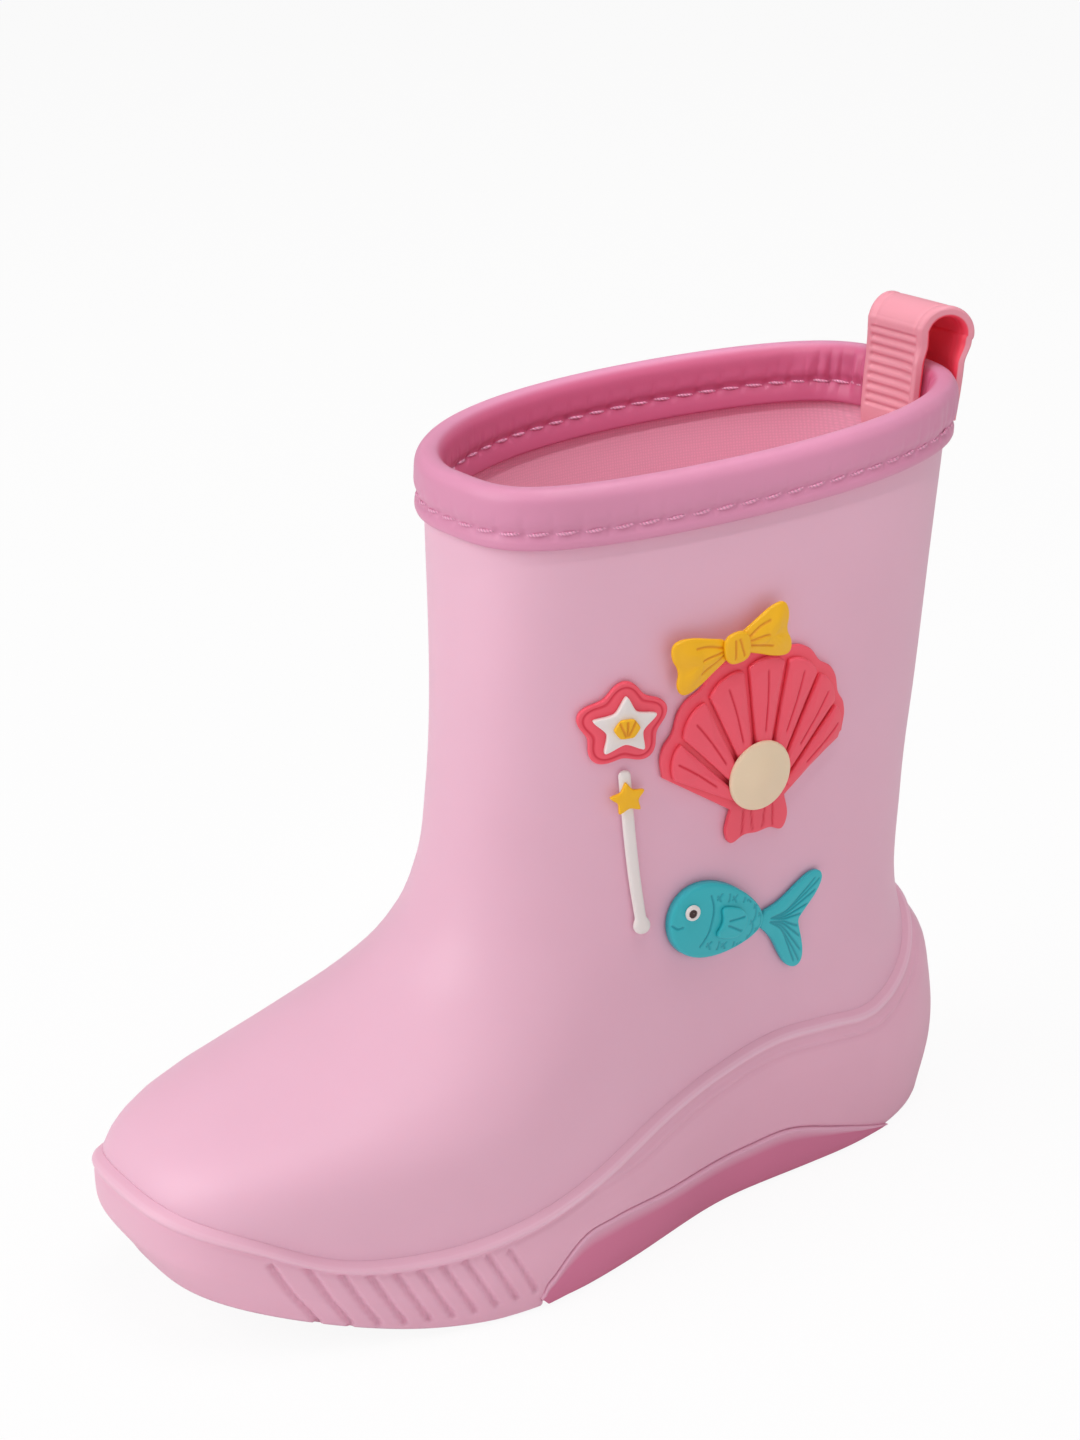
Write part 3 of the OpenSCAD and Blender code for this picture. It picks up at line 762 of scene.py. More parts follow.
def addTread():
    long = tread["panel"][1]
    strips = [archEdge(1), archEdge(-1)]
    shells = [treadPlate(), treadPanel()] + [strip[:2] for strip in strips]
    marks = [np.zeros(len(p)) for p, _ in shells[:2]] + [strip[2] for strip in strips]
    for y in np.linspace(tread["from"], tread["to"], tread["bars"]):
        if abs(y + tread["chevron"] / 2) > long / 2 + tread["barWide"]:
            bar = treadBar(y)
            if bar:
                shells.append(bar)
                marks.append(np.zeros(len(bar[0])))
    piece = newPiece("outsole_tread", *stack(shells), treadRubber, node="outsole", slot="tread_rubber")
    markLinesAndPaintedLight(piece, np.concatenate(marks))


addTread()
print("tread built")

# collar binding, folded over the rim: roll, sunken seam and gathers near the heel

binding = {
    "tape": 1.15,
    "roll": 0.3,
    "outLeaf": 10.8,
    "inLeaf": 12.0,
    "seam": 7.8,  # under the collar's top, like the leaves
    "stitches": 58,
    "stitchSink": 0.34,
    "threadThick": 0.62,
    "threadSides": 10,
    "loopHalf": 11.4,  # no stitch shows where the pull loop covers the tape
    "gather": 0.2,
    "around": 1044,
}
tapeOut = sock["bond"] + binding["tape"]
tapeIn = liningIn + sock["bond"] + binding["tape"]


def smoothLine(points, count, closed=False):
    # smooth curve through the points, evenly spaced
    p = np.asarray(points, float)
    if closed:
        p = np.vstack([p[-1:], p, p[:2]])
    else:
        p = np.vstack([2 * p[:1] - p[1:2], p, 2 * p[-1:] - p[-2:-1]])
    t = np.linspace(0, 1, 24, endpoint=False)[:, None]
    parts = []
    for p0, p1, p2, p3 in zip(p[:-3], p[1:-2], p[2:-1], p[3:]):
        square, cube = 2 * p0 - 5 * p1 + 4 * p2 - p3, 3 * p1 - p0 - 3 * p2 + p3
        parts.append(0.5 * (2 * p1 + (p2 - p0) * t + square * t**2 + cube * t**3))
    dense = np.vstack(parts + [p[-2:-1]])
    run = runAlong(dense)
    at = np.linspace(0, run[-1], count, endpoint=not closed)
    return np.column_stack([np.interp(at, run, dense[:, k]) for k in range(dense.shape[1])])


def seamAngles(count):
    return evenAngles(count, lambda t: collarTop(t) - binding["seam"], tapeOut)


def bindingProfile():
    # offset and height under the collar's top, from the outer leaf's edge over the roll to the inner leaf's
    outer, inner, roll = tapeOut, -tapeIn, binding["roll"]
    low, deep = binding["outLeaf"], binding["inLeaf"]
    back = -liningIn - sock["bond"]
    shown = [
        (0.2, -low), (0.9, 0.05 - low), (outer + 0.15, 0.15 - low), (outer + 0.38, 0.65 - low),
        (outer + 0.3, 1.5 - low), (outer - 0.02, -8.6), (outer - 0.2, -7.8), (outer - 0.02, -7.0),
        (outer + 0.2, -6.2), (outer + roll, -4.8), (outer + roll, -3.3), (outer + 0.1, -1.9),
        (outer - 0.45, -0.9), (outer - 1.2, -0.25), (-liningIn / 2, 0), (inner + 1.2, -0.25),
        (inner + 0.45, -0.9), (inner - 0.1, -1.9), (inner - roll, -3.3), (inner - roll, -4.8),
        (inner - 0.25, -6.2), (inner + 0.02, -7.0), (inner + 0.2, -7.8), (inner + 0.02, -8.6),
        (inner - 0.25, -10), (inner - 0.3, 0.6 - deep), (inner - 0.1, 0.12 - deep), (inner + 0.8, -deep),
        (0.25 + back, -deep),
    ]
    hidden = [(back, -8), (back, -2.0), (sock["bond"], -2.0), (sock["bond"], -8)]
    return np.vstack([smoothLine(shown, 84), hidden])


def addBinding():
    profile = bindingProfile()
    count, middle = binding["around"], -liningIn / 2
    a, index = seamAngles(count), np.arange(count)
    phase = index / (count / binding["stitches"]) % 1
    hole = hump(np.minimum(phase, 1 - phase), 0.22)
    # distance from the heel's middle, where the loop gathers the tape
    heel = skin(collarTop(a), a)
    reach = np.where(heel[:, 1] > 0, np.abs(heel[:, 0]), 40)
    gathered = ease((30 - reach) / 12) * ease((reach - 7) / 4)
    wobble = np.sin(index * 0.115) + 0.6 * np.sin(index * 0.203 + 1) + 0.35 * np.sin(index * 0.41)
    rings = []
    for off, drop in profile:
        outside = off > middle
        shown = ease((abs(off - middle) - 1.3) / 0.9) * (drop > -12.2)
        seam = binding["stitchSink"] * hole * hump(drop + binding["seam"], 1.3)
        gather = binding["gather"] * (0.1 + 2.6 * gathered * (0.4 if outside else 1.0)) * wobble
        pleat = 0.55 * gathered * (0.35 if outside else 1) * (np.abs(np.sin(index * 0.29)) - 0.6)
        gather = (gather + pleat) * hump(drop + 5.5, 6)
        bulge = 0.12 * (1 - hole) * hump(drop + binding["seam"] - 2.4, 1.8)
        push = (gather + bulge - seam) * shown
        rings.append(skin(collarTop(a) + drop, a, off + (push if outside else -push)))
    sections = np.stack(rings, axis=1)
    # a closed ring of closed sections: the last one joins the first
    total = count * len(profile)
    faces = [tuple(i % total for i in face) for face in bandFaces(len(profile), count + 1)]
    points = sections.reshape(-1, 3)
    piece = newPiece(
        "collar_binding_tape", points, faces, tapePvc, node="collar_binding", slot="binding_tape"
    )
    # painted shade: the tape's inside, within the shaft, takes the darker second colour
    markLinesAndPaintedLight(piece, np.tile(ease((-profile[:, 0] - 2.2) / 1.2), count))


def stitchTube(path, radius):
    # short thread, thinner at its ends
    t = unit(np.gradient(path, axis=0))
    side = unit(np.cross(t, [0, 0, 1.0]))
    up = np.cross(side, t)
    turns = fullTurn(binding["threadSides"])[:, None]
    rings = []
    for k in range(len(path)):
        thick = radius * (0.62 + 0.38 * math.sin(math.pi * k / (len(path) - 1)))
        rings.append(path[k] + thick * (np.cos(turns) * side[k] + np.sin(turns) * up[k]))
    return closedLoft(rings, path[0], path[-1])


def addStitches(name, node, off, inward):
    shells = []
    per, steps = binding["around"] // binding["stitches"], 11
    a = np.append(seamAngles(binding["around"]), 2 * math.pi)
    u = np.linspace(0, 1, steps)
    lift = 0.62 * np.sin(math.pi * u) ** 0.6 - 0.66
    slant = 0.35 * (u - 0.5)
    for i in range(binding["stitches"]):
        t = np.linspace(i * per + 1.6, (i + 1) * per - 1.6, steps)
        at = np.interp(t, np.arange(len(a)), a)
        path = skin(collarTop(at) - binding["seam"] + slant, at, off + inward * lift)
        middle = path[steps // 2]
        if middle[1] < 0 or abs(middle[0]) > binding["loopHalf"]:
            shells.append(stitchTube(path, binding["threadThick"] / 2))
    newPiece(name, *stack(shells), seamThread, node=node, slot="thread")


addBinding()
addStitches("seam_outer_stitches", "needle_thread", tapeOut + 0.02, 1)
addStitches("seam_inner_stitches", "bobbin_thread", -tapeIn + 0.06, -1)
print("collar built")

# pull loop: band from inside the collar, over the heel, to the outside

loop = {
    "wide": 18.5,
    "thick": 2.0,
    "radius": 4.4,
    "rise": 6.1,  # middle of the bend over the collar's top
    "innerLeg": 22,
    "standOff": 0.45,
    "ribs": 8,
    "ribPitch": 1.9,
    "ribDepth": 0.5,
    "ribFrom": -9.6,
    "border": 1.5,
    "steps": 260,
    "across": 57,
}


def heelAngle(u):
    # turn of the last at u millimetres to the side of the heel's middle
    half = np.where(u > 0, last["topOut"], last["topIn"])
    power = np.where(u > 0, last["powerOut"][1], last["powerIn"][1])
    return math.pi - np.sign(u) * np.arcsin((np.abs(u) / half) ** (1 / power))


def loopPath():
    # middle of the band, as offset and height over the collar's top
    radius, rise, halfThick = loop["radius"], loop["rise"], loop["thick"] / 2
    inner = -tapeIn - binding["roll"] - loop["standOff"] - halfThick
    outer = tapeOut + binding["roll"] + loop["standOff"] + halfThick
    middle = inner + radius
    turn = math.acos((outer - middle) / radius)
    deep = binding["inLeaf"]
    points = [
        (-liningIn - 0.4 - halfThick, -loop["innerLeg"]),
        (-liningIn - 0.6 - halfThick, (-loop["innerLeg"] - deep) / 2),
        (0.3 + inner, -deep), (0.1 + inner, -0.65 * deep), (inner, -4),
    ]
    for t in np.linspace(math.pi, -turn, 13):
        points.append((middle + radius * math.cos(t), rise + radius * math.sin(t)))
    points += [(outer, -4), (outer - 0.3, -binding["outLeaf"])]
    return smoothLine(points, loop["steps"])


def loopPlace(u, c):
    # u is the place across the band, c its offset and height; above the collar the band is straight
    top = collarTop(math.pi)
    straight = 0.85 * ease(c[:, 1] / loop["radius"])
    p = skin(top + np.minimum(c[:, 1], 0), heelAngle(u), c[:, 0])
    m = skin(np.full(len(c), top), np.full(len(c), math.pi), c[:, 0])
    return np.column_stack([p[:, 0], mix(p[:, 1], m[:, 1], straight), top + c[:, 1]])


def addPullLoop():
    path = loopPath()
    run = runAlong(path)
    t = unit(np.gradient(path, axis=0))
    normal = np.column_stack([-t[:, 1], t[:, 0]])
    half = loop["wide"] / 2
    u = np.linspace(-1, 1, loop["across"])
    u = np.sign(u) * (1 - (1 - np.abs(u)) ** 1.25)
    low, pitch = loop["ribFrom"], loop["ribPitch"]
    ribEnd = low + loop["ribs"] * pitch
    innerLeg = run < run[-1] * 0.5
    height = path[:, 1]
    inPanel = innerLeg * ease((height - low + 0.4) / 0.5) * ease((ribEnd + 0.4 - height) / 0.5)
    wave = 0.5 - 0.5 * np.cos(2 * math.pi * (height - low) / pitch)
    overTop = ease((height - 4.5) / 2.5)

    def column(k, off):
        return loopPlace(np.full(len(path), k * half), path + normal * off)

    columns = []
    for face in (1, -1):
        for k in u[::face]:
            edge = (1 - abs(k)) * half
            off = loop["thick"] / 2 - 0.34 * hump(edge, 0.5)
            if face > 0:
                panel = ease((edge - loop["border"]) / 0.35)
                off = off - panel * inPanel * loop["ribDepth"] * (1 - 0.85 * ease(wave * 1.25))
                off = off - 0.22 * overTop * hump(edge - 2.6, 0.7) + 0.1 * hump(edge - 1.1, 0.8)
            else:
                off = off - 0.12 * hump(edge - 2, 0.7)
            columns.append(column(k, face * np.broadcast_to(off, len(path))[:, None]))
        columns += [column(face, face * 0.35), column(face, face * -0.35)]
    strip = np.stack(columns, axis=1)
    rings = [ring[::-1] for ring in strip]
    caps = rings[0].mean(axis=0), rings[-1].mean(axis=0)
    piece = loftPiece("heel_pull_loop", rings, *caps, loopRubber, node="pull_loop", slot="loop_rubber")
    # painted shade: the band's inner face takes the deep red second colour
    inside = np.concatenate([np.zeros(loop["across"] + 2), np.ones(loop["across"]), np.zeros(2)])
    markLinesAndPaintedLight(piece, np.concatenate([np.tile(inside[::-1], loop["steps"]), [0, 0]]))


addPullLoop()
print("pull loop built")

# insole: foam with a knit top, lifts out at the heel

insoleLow, insoleHigh = nodeBox("insole_foam")
coverLow, coverHigh = nodeBox("insole_cover")
insole = {
    "gap": liningIn + 1.0,
    "foamEdge": 0.6,  # radius of the edges
    "coverEdge": 0.3,
    "coverInset": 0.3,
    "foamFill": 1,
    "around": 260,
}


def insoleOutline(inset):
    count = insole["around"]
    a = evenAngles(count, insoleLow[2], -insole["gap"])
    p = skin(np.full(count, insoleLow[2]), a, np.full(count, -insole["gap"] - inset))[:, :2]
    y0, y1 = p[:, 1].min(), p[:, 1].max()
    span = (insoleHigh[1] - insoleLow[1] - 2 * inset) / (y1 - y0)
    return np.column_stack([p[:, 0], insoleLow[1] + inset + (p[:, 1] - y0) * span])


def addInsoleLayer(name, node, box, edge, inset, material, slotName):
    low, high = box[0][2], box[1][2]
    levels = [(edge, low), (edge * 0.3, low + edge * 0.3), (0, low + edge), (0, high - edge)]
    levels += [(edge * t, high - edge * (1 - t) ** 2) for t in (0.35, 0.7, 1)]
    rings = [
        np.column_stack([insoleOutline(inset + extra), np.full(insole["around"], z)]) for extra, z in levels
    ]
    middle = (insoleLow + insoleHigh) / 2
    for s in (0.8, 0.6, 0.4, 0.2):
        p = rings[len(levels) - 1].copy()
        p[:, :2] = middle[:2] + (p[:, :2] - middle[:2]) * s
        rings.append(p)
    caps = (0, middle[1], low), (0, middle[1], high)
    return loftPiece(name, rings, *caps, material, body="insole", node=node, slot=slotName)


foamPad = addInsoleLayer(
    "insole_foam_pad", "insole_foam", (insoleLow, insoleHigh), insole["foamEdge"], 0, foamRubber, "foam"
)
addInsoleLayer(
    "insole_knit_top", "insole_cover", (coverLow, coverHigh), insole["coverEdge"], insole["coverInset"],
    insoleKnit, "insole_knit",
)
print("insole built")

# badges on the outer side: every place is (along the foot, height)

badges = {
    # from the boot's surface to the under and upper side of each layer
    "plate": (0.35, 1.25),
    "fill": (1.4, 2.4),
    "second": (2.55, 3.55),
    "shellHinge": (27, 82),
    "shellRadius": 33,
    "shellSpread": 62,
    "shellRibs": 7,
    "pearlAt": (26, 90),
    "pearlRadius": 6.8,
    "bowAt": (19, 117),
    "bowTilt": 10,
    "wandAt": (-1, 104.5),
    "stickLong": 30,
    "fishAt": (18, 62),
    "fishTilt": -16,
    "tailAt": 16,  # from the fish's middle
    "lineWide": 0.38,
    "lineDeep": 0.2,
}
badgeFinish = {
    "coral": (coralPvc, "coral_fill"),
    "cream": (creamPvc, "cream_fill"),
    "yellow": (yellowPvc, "yellow_fill"),
    "white": (whitePvc, "white_fill"),
    "teal": (tealPvc, "teal_fill"),
}


def turned(points, centre, degrees):
    c, s = math.cos(math.radians(degrees)), math.sin(math.radians(degrees))
    d = np.asarray(points, float) - centre
    return centre + np.stack([d[..., 0] * c - d[..., 1] * s, d[..., 0] * s + d[..., 1] * c], -1)


def circleLine(centre, r, count=120):
    t = fullTurn(count)
    return np.column_stack([centre[0] + r * np.cos(t), centre[1] + r * np.sin(t)])


def roundedCorners(points, count, cut=0.22, passes=4):
    # closed outline with its corners cut round
    p = np.asarray(points, float)
    for step in range(passes):
        part = cut if step == 0 else 0.25
        n = np.roll(p, -1, axis=0)
        p = np.stack([mix(p, n, part), mix(p, n, 1 - part)], axis=1).reshape(-1, 2)
    p = np.vstack([p, p[:1]])
    run = runAlong(p)
    at = np.linspace(0, run[-1], count, endpoint=False)
    return np.column_stack([np.interp(at, run, p[:, 0]), np.interp(at, run, p[:, 1])])


def puffShell(outline, centre, low, high, edge, crown, rise=3.0, lines=(), extra=None, rows=26):
    # raised fill: rounded edge, soft crown, and engraved lines;
    # gives its mesh and how deep each point is engraved
    outline, centre = np.asarray(outline, float), np.asarray(centre, float)
    x, y = outline.T
    if np.sum(x * np.roll(y, -1) - y * np.roll(x, -1)) < 0:
        outline = outline[::-1]
    reach = np.linalg.norm(outline - centre, axis=1)
    rings, groove = [], []

    def addRow(inset, off, carve=True):
        flat = centre + (outline - centre) * np.clip(1 - inset / reach, 0, 1)[:, None]
        sink = np.zeros(len(flat))
        for line in lines if carve else ():
            sink = np.maximum(sink, hump(distanceTo(flat, np.asarray(line, float)), badges["lineWide"]))
        if extra and carve:
            sink = np.maximum(sink, extra(flat))
        rings.append(onSide(flat, off - badges["lineDeep"] * sink))
        groove.append(sink)

    addRow(0.25, low, False)
    addRow(0.0, low + 0.06, False)
    addRow(0.0, high - edge, False)
    for t in (0.2, 0.4, 0.6, 0.8, 1.0):
        angle = t * math.pi / 2
        addRow(edge * (1 - math.cos(angle)), high - edge + edge * math.sin(angle), t > 0.5)
    for t in np.arange(1, rows + 1) / (rows + 1):
        inset = edge + (reach - edge) * t
        addRow(inset, high + crown * ease(np.minimum(inset, reach) / rise))
    top = onSide(centre[None], np.array([high + crown * ease(reach.max() / rise)]))[0]
    bottom = onSide(centre[None], np.array([low]))[0]
    return *closedLoft(rings, bottom, top), np.concatenate(groove + [[0, 0]])


def addBadge(name, node, colour, *shells):
    material, slotName = badgeFinish[colour]
    piece = newPiece(name, *stack([shell[:2] for shell in shells]), material, node=node, slot=slotName)
    markLinesAndPaintedLight(piece, np.concatenate([shell[2] for shell in shells]))


def shellEdge(t):
    return badges["shellRadius"] * (0.61 + 0.39 * np.clip(np.cos(np.radians(t)), 0, 1) ** 1.5)


def fan(r, t):
    t = np.radians(t)
    return np.stack([badges["shellHinge"][0] + r * np.sin(t), badges["shellHinge"][1] + r * np.cos(t)], -1)


def addScallop():
    hinge = np.array(badges["shellHinge"], float)
    spread, ribs, radius = badges["shellSpread"], badges["shellRibs"], badges["shellRadius"]
    step = 2 * spread / ribs
    t = np.linspace(spread, -spread, 220)
    scallop = np.abs(np.cos((t + spread) / step * math.pi))
    rim = fan(shellEdge(t) - 0.9 * scallop**3, t)
    ear = [(6.2, 1.6), (7.2, -2.5), (6.0, -5.2), (3, -4.2)]
    ears = smoothLine([(-x, y) for x, y in ear] + [(0, -4.4)] + ear[::-1], 60)
    earLines = []
    for low, high in (((1.2, -3.6), (1.6, 0.5)), ((3.6, -3.9), (3.4, 0.8))):
        earLines += [hinge + np.array([low, high]) * [side, 1] for side in (-1, 1)]
    plate = puffShell(
        np.vstack([rim, hinge + ears]), hinge + [0, 0.45 * radius], *badges["plate"], 0.3, 0,
        lines=earLines, rows=30,
    )
    addBadge("scallop_plate", "shell_base", "coral", plate)
    low, high = badges["fill"]
    shells = []
    for i in range(ribs):
        mid = -spread + (i + 0.5) * step
        half = step / 2 - 1.15
        k = np.linspace(1, -1, 40)
        top = fan(shellEdge(mid + k * half) - 2.2 - 0.9 * np.abs(k) ** 2.5, mid + k * half)
        foot = fan(np.full(12, 0.22 * radius), mid + np.linspace(-0.75, 0.75, 12) * half)
        left, right = [mix(top[e], foot[f], np.linspace(0, 1, 50)[1:-1, None]) for e, f in ((-1, 0), (0, -1))]
        outline = roundedCorners(np.vstack([top, left, foot, right[::-1]]), 220, 0.25, 2)
        bend = 0.6 * np.sin(np.linspace(0, 3, 14))
        crease = [fan(np.linspace(0.5, 0.86, 14) * shellEdge(mid), mid + bend)]
        centre = fan(0.68 * shellEdge(mid), mid)
        shells.append(puffShell(outline, centre, low, high - 0.12, 0.5, 0.3, 2.6, lines=crease, rows=22))
    addBadge("scallop_ribs", "shell_ribs", "coral", *shells)
    low, centre = badges["second"][0], badges["pearlAt"]
    outline = circleLine(centre, badges["pearlRadius"])
    pearl = puffShell(outline, centre, low, low + 0.8, 0.7, 1.25, 7, rows=24)
    addBadge("scallop_pearl", "pearl", "cream", pearl)


def addBow():
    centre = np.array(badges["bowAt"], float)
    low, high = badges["second"]
    side = [
        (1.0, -1.6), (4.5, -3.3), (8.2, -5.4), (11.4, -6.2), (12.3, -3.8), (11.2, -1.0), (12.4, 1.8),
        (11.8, 4.7), (8.8, 4.8), (4.6, 3.1), (1.0, 1.6),
    ]
    creases = [
        [(2.6, 0.7), (5.2, 1.9), (7.6, 2.4)], [(2.6, -0.7), (5.0, -1.6), (7.4, -2.6)],
        [(2.8, 0), (5.6, 0.1), (6.8, -0.1)],
    ]

    def place(points):
        return turned(centre + points, centre, badges["bowTilt"])

    halves = []
    for s in (-1, 1):
        outline = place(roundedCorners(np.array([(s * x, y) for x, y in side]), 200, 0.25, 3))
        lines = [place(smoothLine([(s * x, y) for x, y in crease], 10)) for crease in creases]
        middle = place(np.array([s * 7.2, -0.6]))
        halves.append(puffShell(outline, middle, low, high - 0.25, 0.55, 0.75, 4.2, lines=lines, rows=28))
    addBadge("bow_loops_fill", "bow_loops", "yellow", *halves)
    t = fullTurn(100)
    outline = place(np.column_stack([2.7 * signedPower(np.cos(t), 0.75), 3.0 * signedPower(np.sin(t), 0.75)]))
    lines = [place(np.array([(x, -1.7), (x * 0.5, 1.6)])) for x in (-0.9, 0.9)]
    knot = puffShell(outline, centre, high + 0.05, high + 0.85, 0.5, 0.2, 2, lines=lines, rows=16)
    addBadge("bow_knot_fill", "bow_knot", "yellow", knot)


def starLine(centre, outer, inner, tilt=0, count=160, cut=0.14):
    points = []
    for i in range(10):
        t = math.radians(90 + tilt + 36 * i)
        r = outer if i % 2 == 0 else inner
        points.append((centre[0] + r * math.cos(t), centre[1] + r * math.sin(t)))
    return roundedCorners(points, count, cut, 4)


def addWand():
    centre = np.array(badges["wandAt"], float)
    t = fullTurn(180)
    r = 7.4 + 0.9 * np.cos(5 * (t - math.pi / 2))
    lobes = centre + np.column_stack([r * np.cos(t), r * np.sin(t)])
    ring = centre + np.column_stack([(r - 1.0) * np.cos(t), (r - 1.0) * np.sin(t)])
    line = np.vstack([ring, ring[:1]])
    plate = puffShell(lobes, centre, *badges["plate"], 0.35, 0, lines=[line], rows=22)
    addBadge("wand_plate", "wand_base", "coral", plate)
    star = puffShell(starLine(centre, 6.4, 3.1), centre, *badges["fill"], 0.4, 0.1, 2, rows=20)
    addBadge("wand_star_fill", "wand_star", "white", star)
    low = badges["second"][0]
    corners = [(2.4 * math.cos(a), 2.1 * math.sin(a)) for a in np.radians([0, 60, 120, 180, 240, 300])]
    outline = roundedCorners(centre + np.array(corners), 90, 0.12, 3)
    facets = [centre + np.array([(x * 1.5, 1.3), (x * 0.3, -1.2)]) for x in (-0.9, 0, 0.9)]
    gem = puffShell(outline, centre, low, low + 0.7, 0.3, 0.1, 1.5, lines=facets, rows=14)
    addBadge("wand_gem_fill", "wand_gem", "yellow", gem)
    lean = math.radians(5)
    top = centre + [0.4, -10]
    end = top + badges["stickLong"] * np.array([math.sin(lean), -math.cos(lean)])
    low, high = badges["plate"]
    addBadge("wand_stick_fill", "wand_stick", "white", stickShell(top, end, low, high + 0.1))
    charm = mix(top, end, 0.14)
    low = badges["fill"][0]
    star = puffShell(starLine(charm, 3.5, 1.8, 8, 120), charm, low, low + 0.8, 0.3, 0.1, 1.5, rows=14)
    addBadge("wand_charm_fill", "wand_charm", "yellow", star)


def stickShell(top, end, low, high):
    # round-topped rod with a ball end
    thick, ballRadius = 1.1, 1.7
    long = np.linalg.norm(end - top)
    along = (end - top) / long
    side = np.array([-along[1], along[0]])
    tip, shaft, knob = np.linspace(-thick, 0, 8), np.linspace(0, long, 60), np.linspace(0, 1.6, 10)
    at = np.concatenate([tip, shaft[1:], long + knob[1:]])
    half = np.where(at < 0, np.sqrt(np.clip(thick**2 - at**2, 0, None)), thick)
    ball = np.sqrt(np.clip(ballRadius**2 - (at - long) ** 2, 0, None))
    half = np.maximum(np.where(at > long + 0.2, 0, half), ball) + 0.02
    turn = fullTurn(20)
    middle = (low + high) / 2
    rings = []
    for s, h in zip(at, half):
        flat = top + along * s + side * (h * np.cos(turn))[:, None]
        tall = (high - low) / 2 * min(1.25, max(h, 0.1) / thick)
        rings.append(onSide(flat, middle + tall * np.clip(1.25 * np.sin(turn), -1, 1.1)))
    points, faces = closedLoft(rings, rings[0].mean(axis=0), rings[-1].mean(axis=0))
    return points, faces, np.zeros(len(points))


def addFish():
    centre, tilt = np.array(badges["fishAt"], float), badges["fishTilt"]
    low, high = badges["plate"][0], badges["fill"][1]

    def place(points, about=centre):
        return turned(about + np.asarray(points, float), about, tilt)

    def scales(flat):
        # rows of overlapping arcs behind the gill, clear of the fin
        pitch, size = 3.1, 2.15
        local = turned(flat, centre, -tilt) - centre
        sink = np.zeros(len(flat))
        for row in range(7):
            for k in range(-3, 4):
                d = local - [-3.0 + row * pitch * 0.6, (k + 0.5 * (row % 2)) * pitch]
                r = np.linalg.norm(d, axis=1)
                sink = np.maximum(sink, 0.75 * hump(r - size, 0.42) * (d[:, 0] > 0.45 * r))
        x, y = local.T
        underFin = (np.abs(x - 2.8) < 4.6) & (np.abs(y) < 3.9)
        return sink * (~underFin & (x > -2.2) & ((x / 10.2) ** 2 + (y / 5.6) ** 2 < 1))

    t = fullTurn(360)
    outline = place(np.column_stack([11 * np.cos(t), (7.2 - 2 * np.cos(t)) * np.sin(t)]))
    gill = smoothLine([(-3.4, 5.0), (-2.2, 2.6), (-1.9, 0), (-2.2, -2.6), (-3.4, -5.0)], 24)
    mouth = smoothLine([(-10.4, -1.4), (-9.2, -1.9), (-8.2, -1.5)], 8)
    lines = [place(gill), place(mouth)]
    body = puffShell(outline, centre, low, high - 0.15, 0.7, 0.25, 4, lines=lines, extra=scales, rows=72)
    addBadge("fish_body_fill", "fish_body", "teal", body)
    root = place((badges["tailAt"], 0))
    lobe = [
        (-4.8, 1.5), (-2.4, 2.6), (0, 4.4), (2.6, 7.2), (5.4, 9.6), (8.0, 10.0), (9.2, 8.6), (8.6, 6),
        (7.2, 3.5), (6.0, 1.6),
    ]
    outline = roundedCorners(place([(x, -y) for x, y in lobe] + [(5.2, 0)] + lobe[::-1], root), 260, 0.25, 3)
    veins = []
    for s in (-1, 1):
        for x, y in ((8.0, 8.3), (6.6, 8.4), (7.4, 6.0), (6.2, 3.2), (5.0, 1.2)):
            vein = [(-2.4, 0.4 * s), (1.0, s * y * 0.22), (x * 0.6, s * y * 0.62), (x, s * y)]
            veins.append(place(smoothLine(vein, 12), root))
    low, high = badges["plate"]
    tail = puffShell(outline, root, low, high + 0.1, 0.45, 0.15, 2.5, lines=veins, rows=34)
    addBadge("fish_tail_fill", "fish_tail", "teal", tail)
    low = badges["second"][0]
    outline = place([(-1, -3), (2.4, -3.2), (5, -2.6), (6.4, 0), (5, 2.6), (2.4, 3.2), (-1, 3), (0.6, 0)])
    outline = roundedCorners(outline, 140, 0.25, 3)
    lines = [place([(1.6, s * 0.5), (4.9, s * 1.4)]) for s in (-1, 1)]
    fin = puffShell(outline, place((2.5, 0)), low, low + 0.75, 0.35, 0.1, 2, lines=lines, rows=18)
    addBadge("fish_fin_fill", "fish_fin", "teal", fin)
    eyeAt, pupilAt = place((-7, 1.6)), place((-7.15, 1.5))

    def pupil(flat):
        return 1.0 * (np.linalg.norm(flat - pupilAt, axis=1) < 0.85)

    eye = puffShell(circleLine(eyeAt, 1.55, 60), eyeAt, low, low + 0.55, 0.3, 0.1, 1.2, extra=pupil, rows=16)
    addBadge("fish_eye_fill", "fish_eye", "white", eye)


addScallop()
addBow()
addWand()
addFish()
print("badges built")

# floor, backdrop and soft studio light

studio = {
    "floorSize": 12,
    "floorColour": (0.93, 0.93, 0.93, 1),
    "floorGlow": 0.92,  # share of plain white that the camera sees on the floor
    "worldLight": 0.36,
    "worldColour": (1, 0.945, 0.955, 1),
    "key": 14.5,  # watts, as are the next ones
    "fill": 2.7,
    "fillColour": (1, 0.8, 0.84),
    "top": 8.0,
    "inner": 4.6,
}


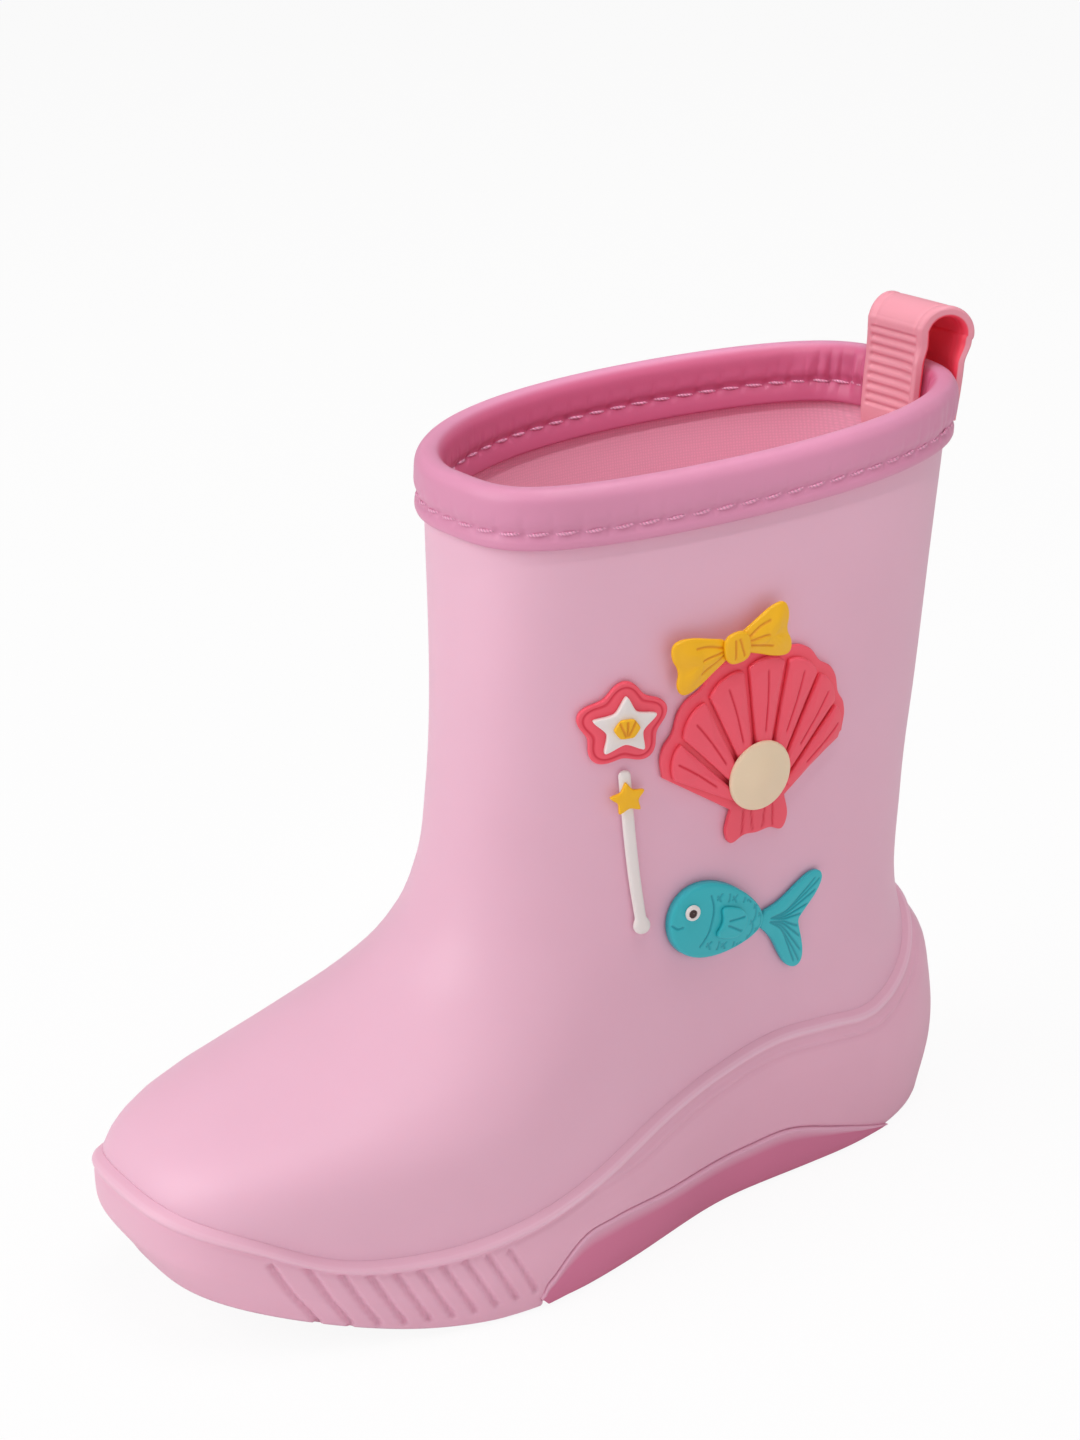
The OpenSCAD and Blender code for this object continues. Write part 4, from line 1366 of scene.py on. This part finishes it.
def mixForCamera(tree, plain, shown, part, target):
    # the camera sees this part of the shown shader; the light in the scene comes from the plain one
    path = tree.nodes.new("ShaderNodeLightPath")
    amount = addNode(tree, "ShaderNodeMath", operation="MULTIPLY")
    amount.inputs[1].default_value = part
    both = tree.nodes.new("ShaderNodeMixShader")
    tree.links.new(path.outputs["Is Camera Ray"], amount.inputs[0])
    tree.links.new(amount.outputs[0], both.inputs[0])
    tree.links.new(plain.outputs[0], both.inputs[1])
    tree.links.new(shown.outputs[0], both.inputs[2])
    tree.links.new(both.outputs[0], tree.nodes[target].inputs["Surface"])


def addFloor():
    size = studio["floorSize"]
    corners = [(-size, -size, 0), (size, -size, 0), (size, size, 0), (-size, size, 0)]
    mesh = bpy.data.meshes.new("studio_floor")
    mesh.from_pydata(corners, [], [(0, 1, 2, 3)])
    floor = bpy.data.objects.new("studio_floor", mesh)
    bpy.context.scene.collection.objects.link(floor)
    material, tree, shader, place = startMaterial("studio_white")
    shader.inputs["Base Color"].default_value = studio["floorColour"]
    shader.inputs["Roughness"].default_value = 0.9
    shader.inputs["Specular IOR Level"].default_value = 0.1
    glow = addNode(tree, "ShaderNodeEmission", {"Strength": 1.0})
    mixForCamera(tree, shader, glow, studio["floorGlow"], "Material Output")
    mesh.materials.append(material)


def addWorld():
    world = bpy.data.worlds.new("studio_world")
    world.use_nodes = True
    bpy.context.scene.world = world
    tree = world.node_tree
    light = tree.nodes["Background"]
    light.inputs["Color"].default_value = studio["worldColour"]
    light.inputs["Strength"].default_value = studio["worldLight"]
    shown = addNode(tree, "ShaderNodeBackground", {"Color": (1, 1, 1, 1), "Strength": 1.0})
    mixForCamera(tree, light, shown, 1, "World Output")


def hangLamp(data, place, target):
    lamp = bpy.data.objects.new(data.name, data)
    lamp.location = place
    lamp.rotation_euler = (Vector(target) - Vector(place)).to_track_quat("-Z", "Y").to_euler()
    bpy.context.scene.collection.objects.link(lamp)


def addInnerSpot():
    # narrow spot over the near edge that lights the inside of the shaft
    data = bpy.data.lights.new("inner_spot", "SPOT")
    data.energy = studio["inner"]
    data.spot_size = math.radians(13)
    data.spot_blend = 0.8
    data.shadow_soft_size = 0.03
    hangLamp(data, (0.26, -0.1, 0.62), (-0.02, 0.04, 0.13))


def addLamp(name, place, target, size, power, colour=(1, 1, 1)):
    data = bpy.data.lights.new(name, "AREA")
    data.shape = "DISK"
    data.size = size
    data.energy = power
    data.color = colour
    hangLamp(data, place, target)


addFloor()
addWorld()
addLamp("key_softbox", (-0.35, -1.35, 1.0), (0, 0, 0.08), 1.5, studio["key"])
addLamp("fill_softbox", (1.5, -0.1, 0.75), (0, 0, 0.08), 1.2, studio["fill"], studio["fillColour"])
addLamp("top_softbox", (0.1, 0.2, 1.6), (0, 0, 0.1), 1.0, studio["top"])
addInnerSpot()
print("studio lit")
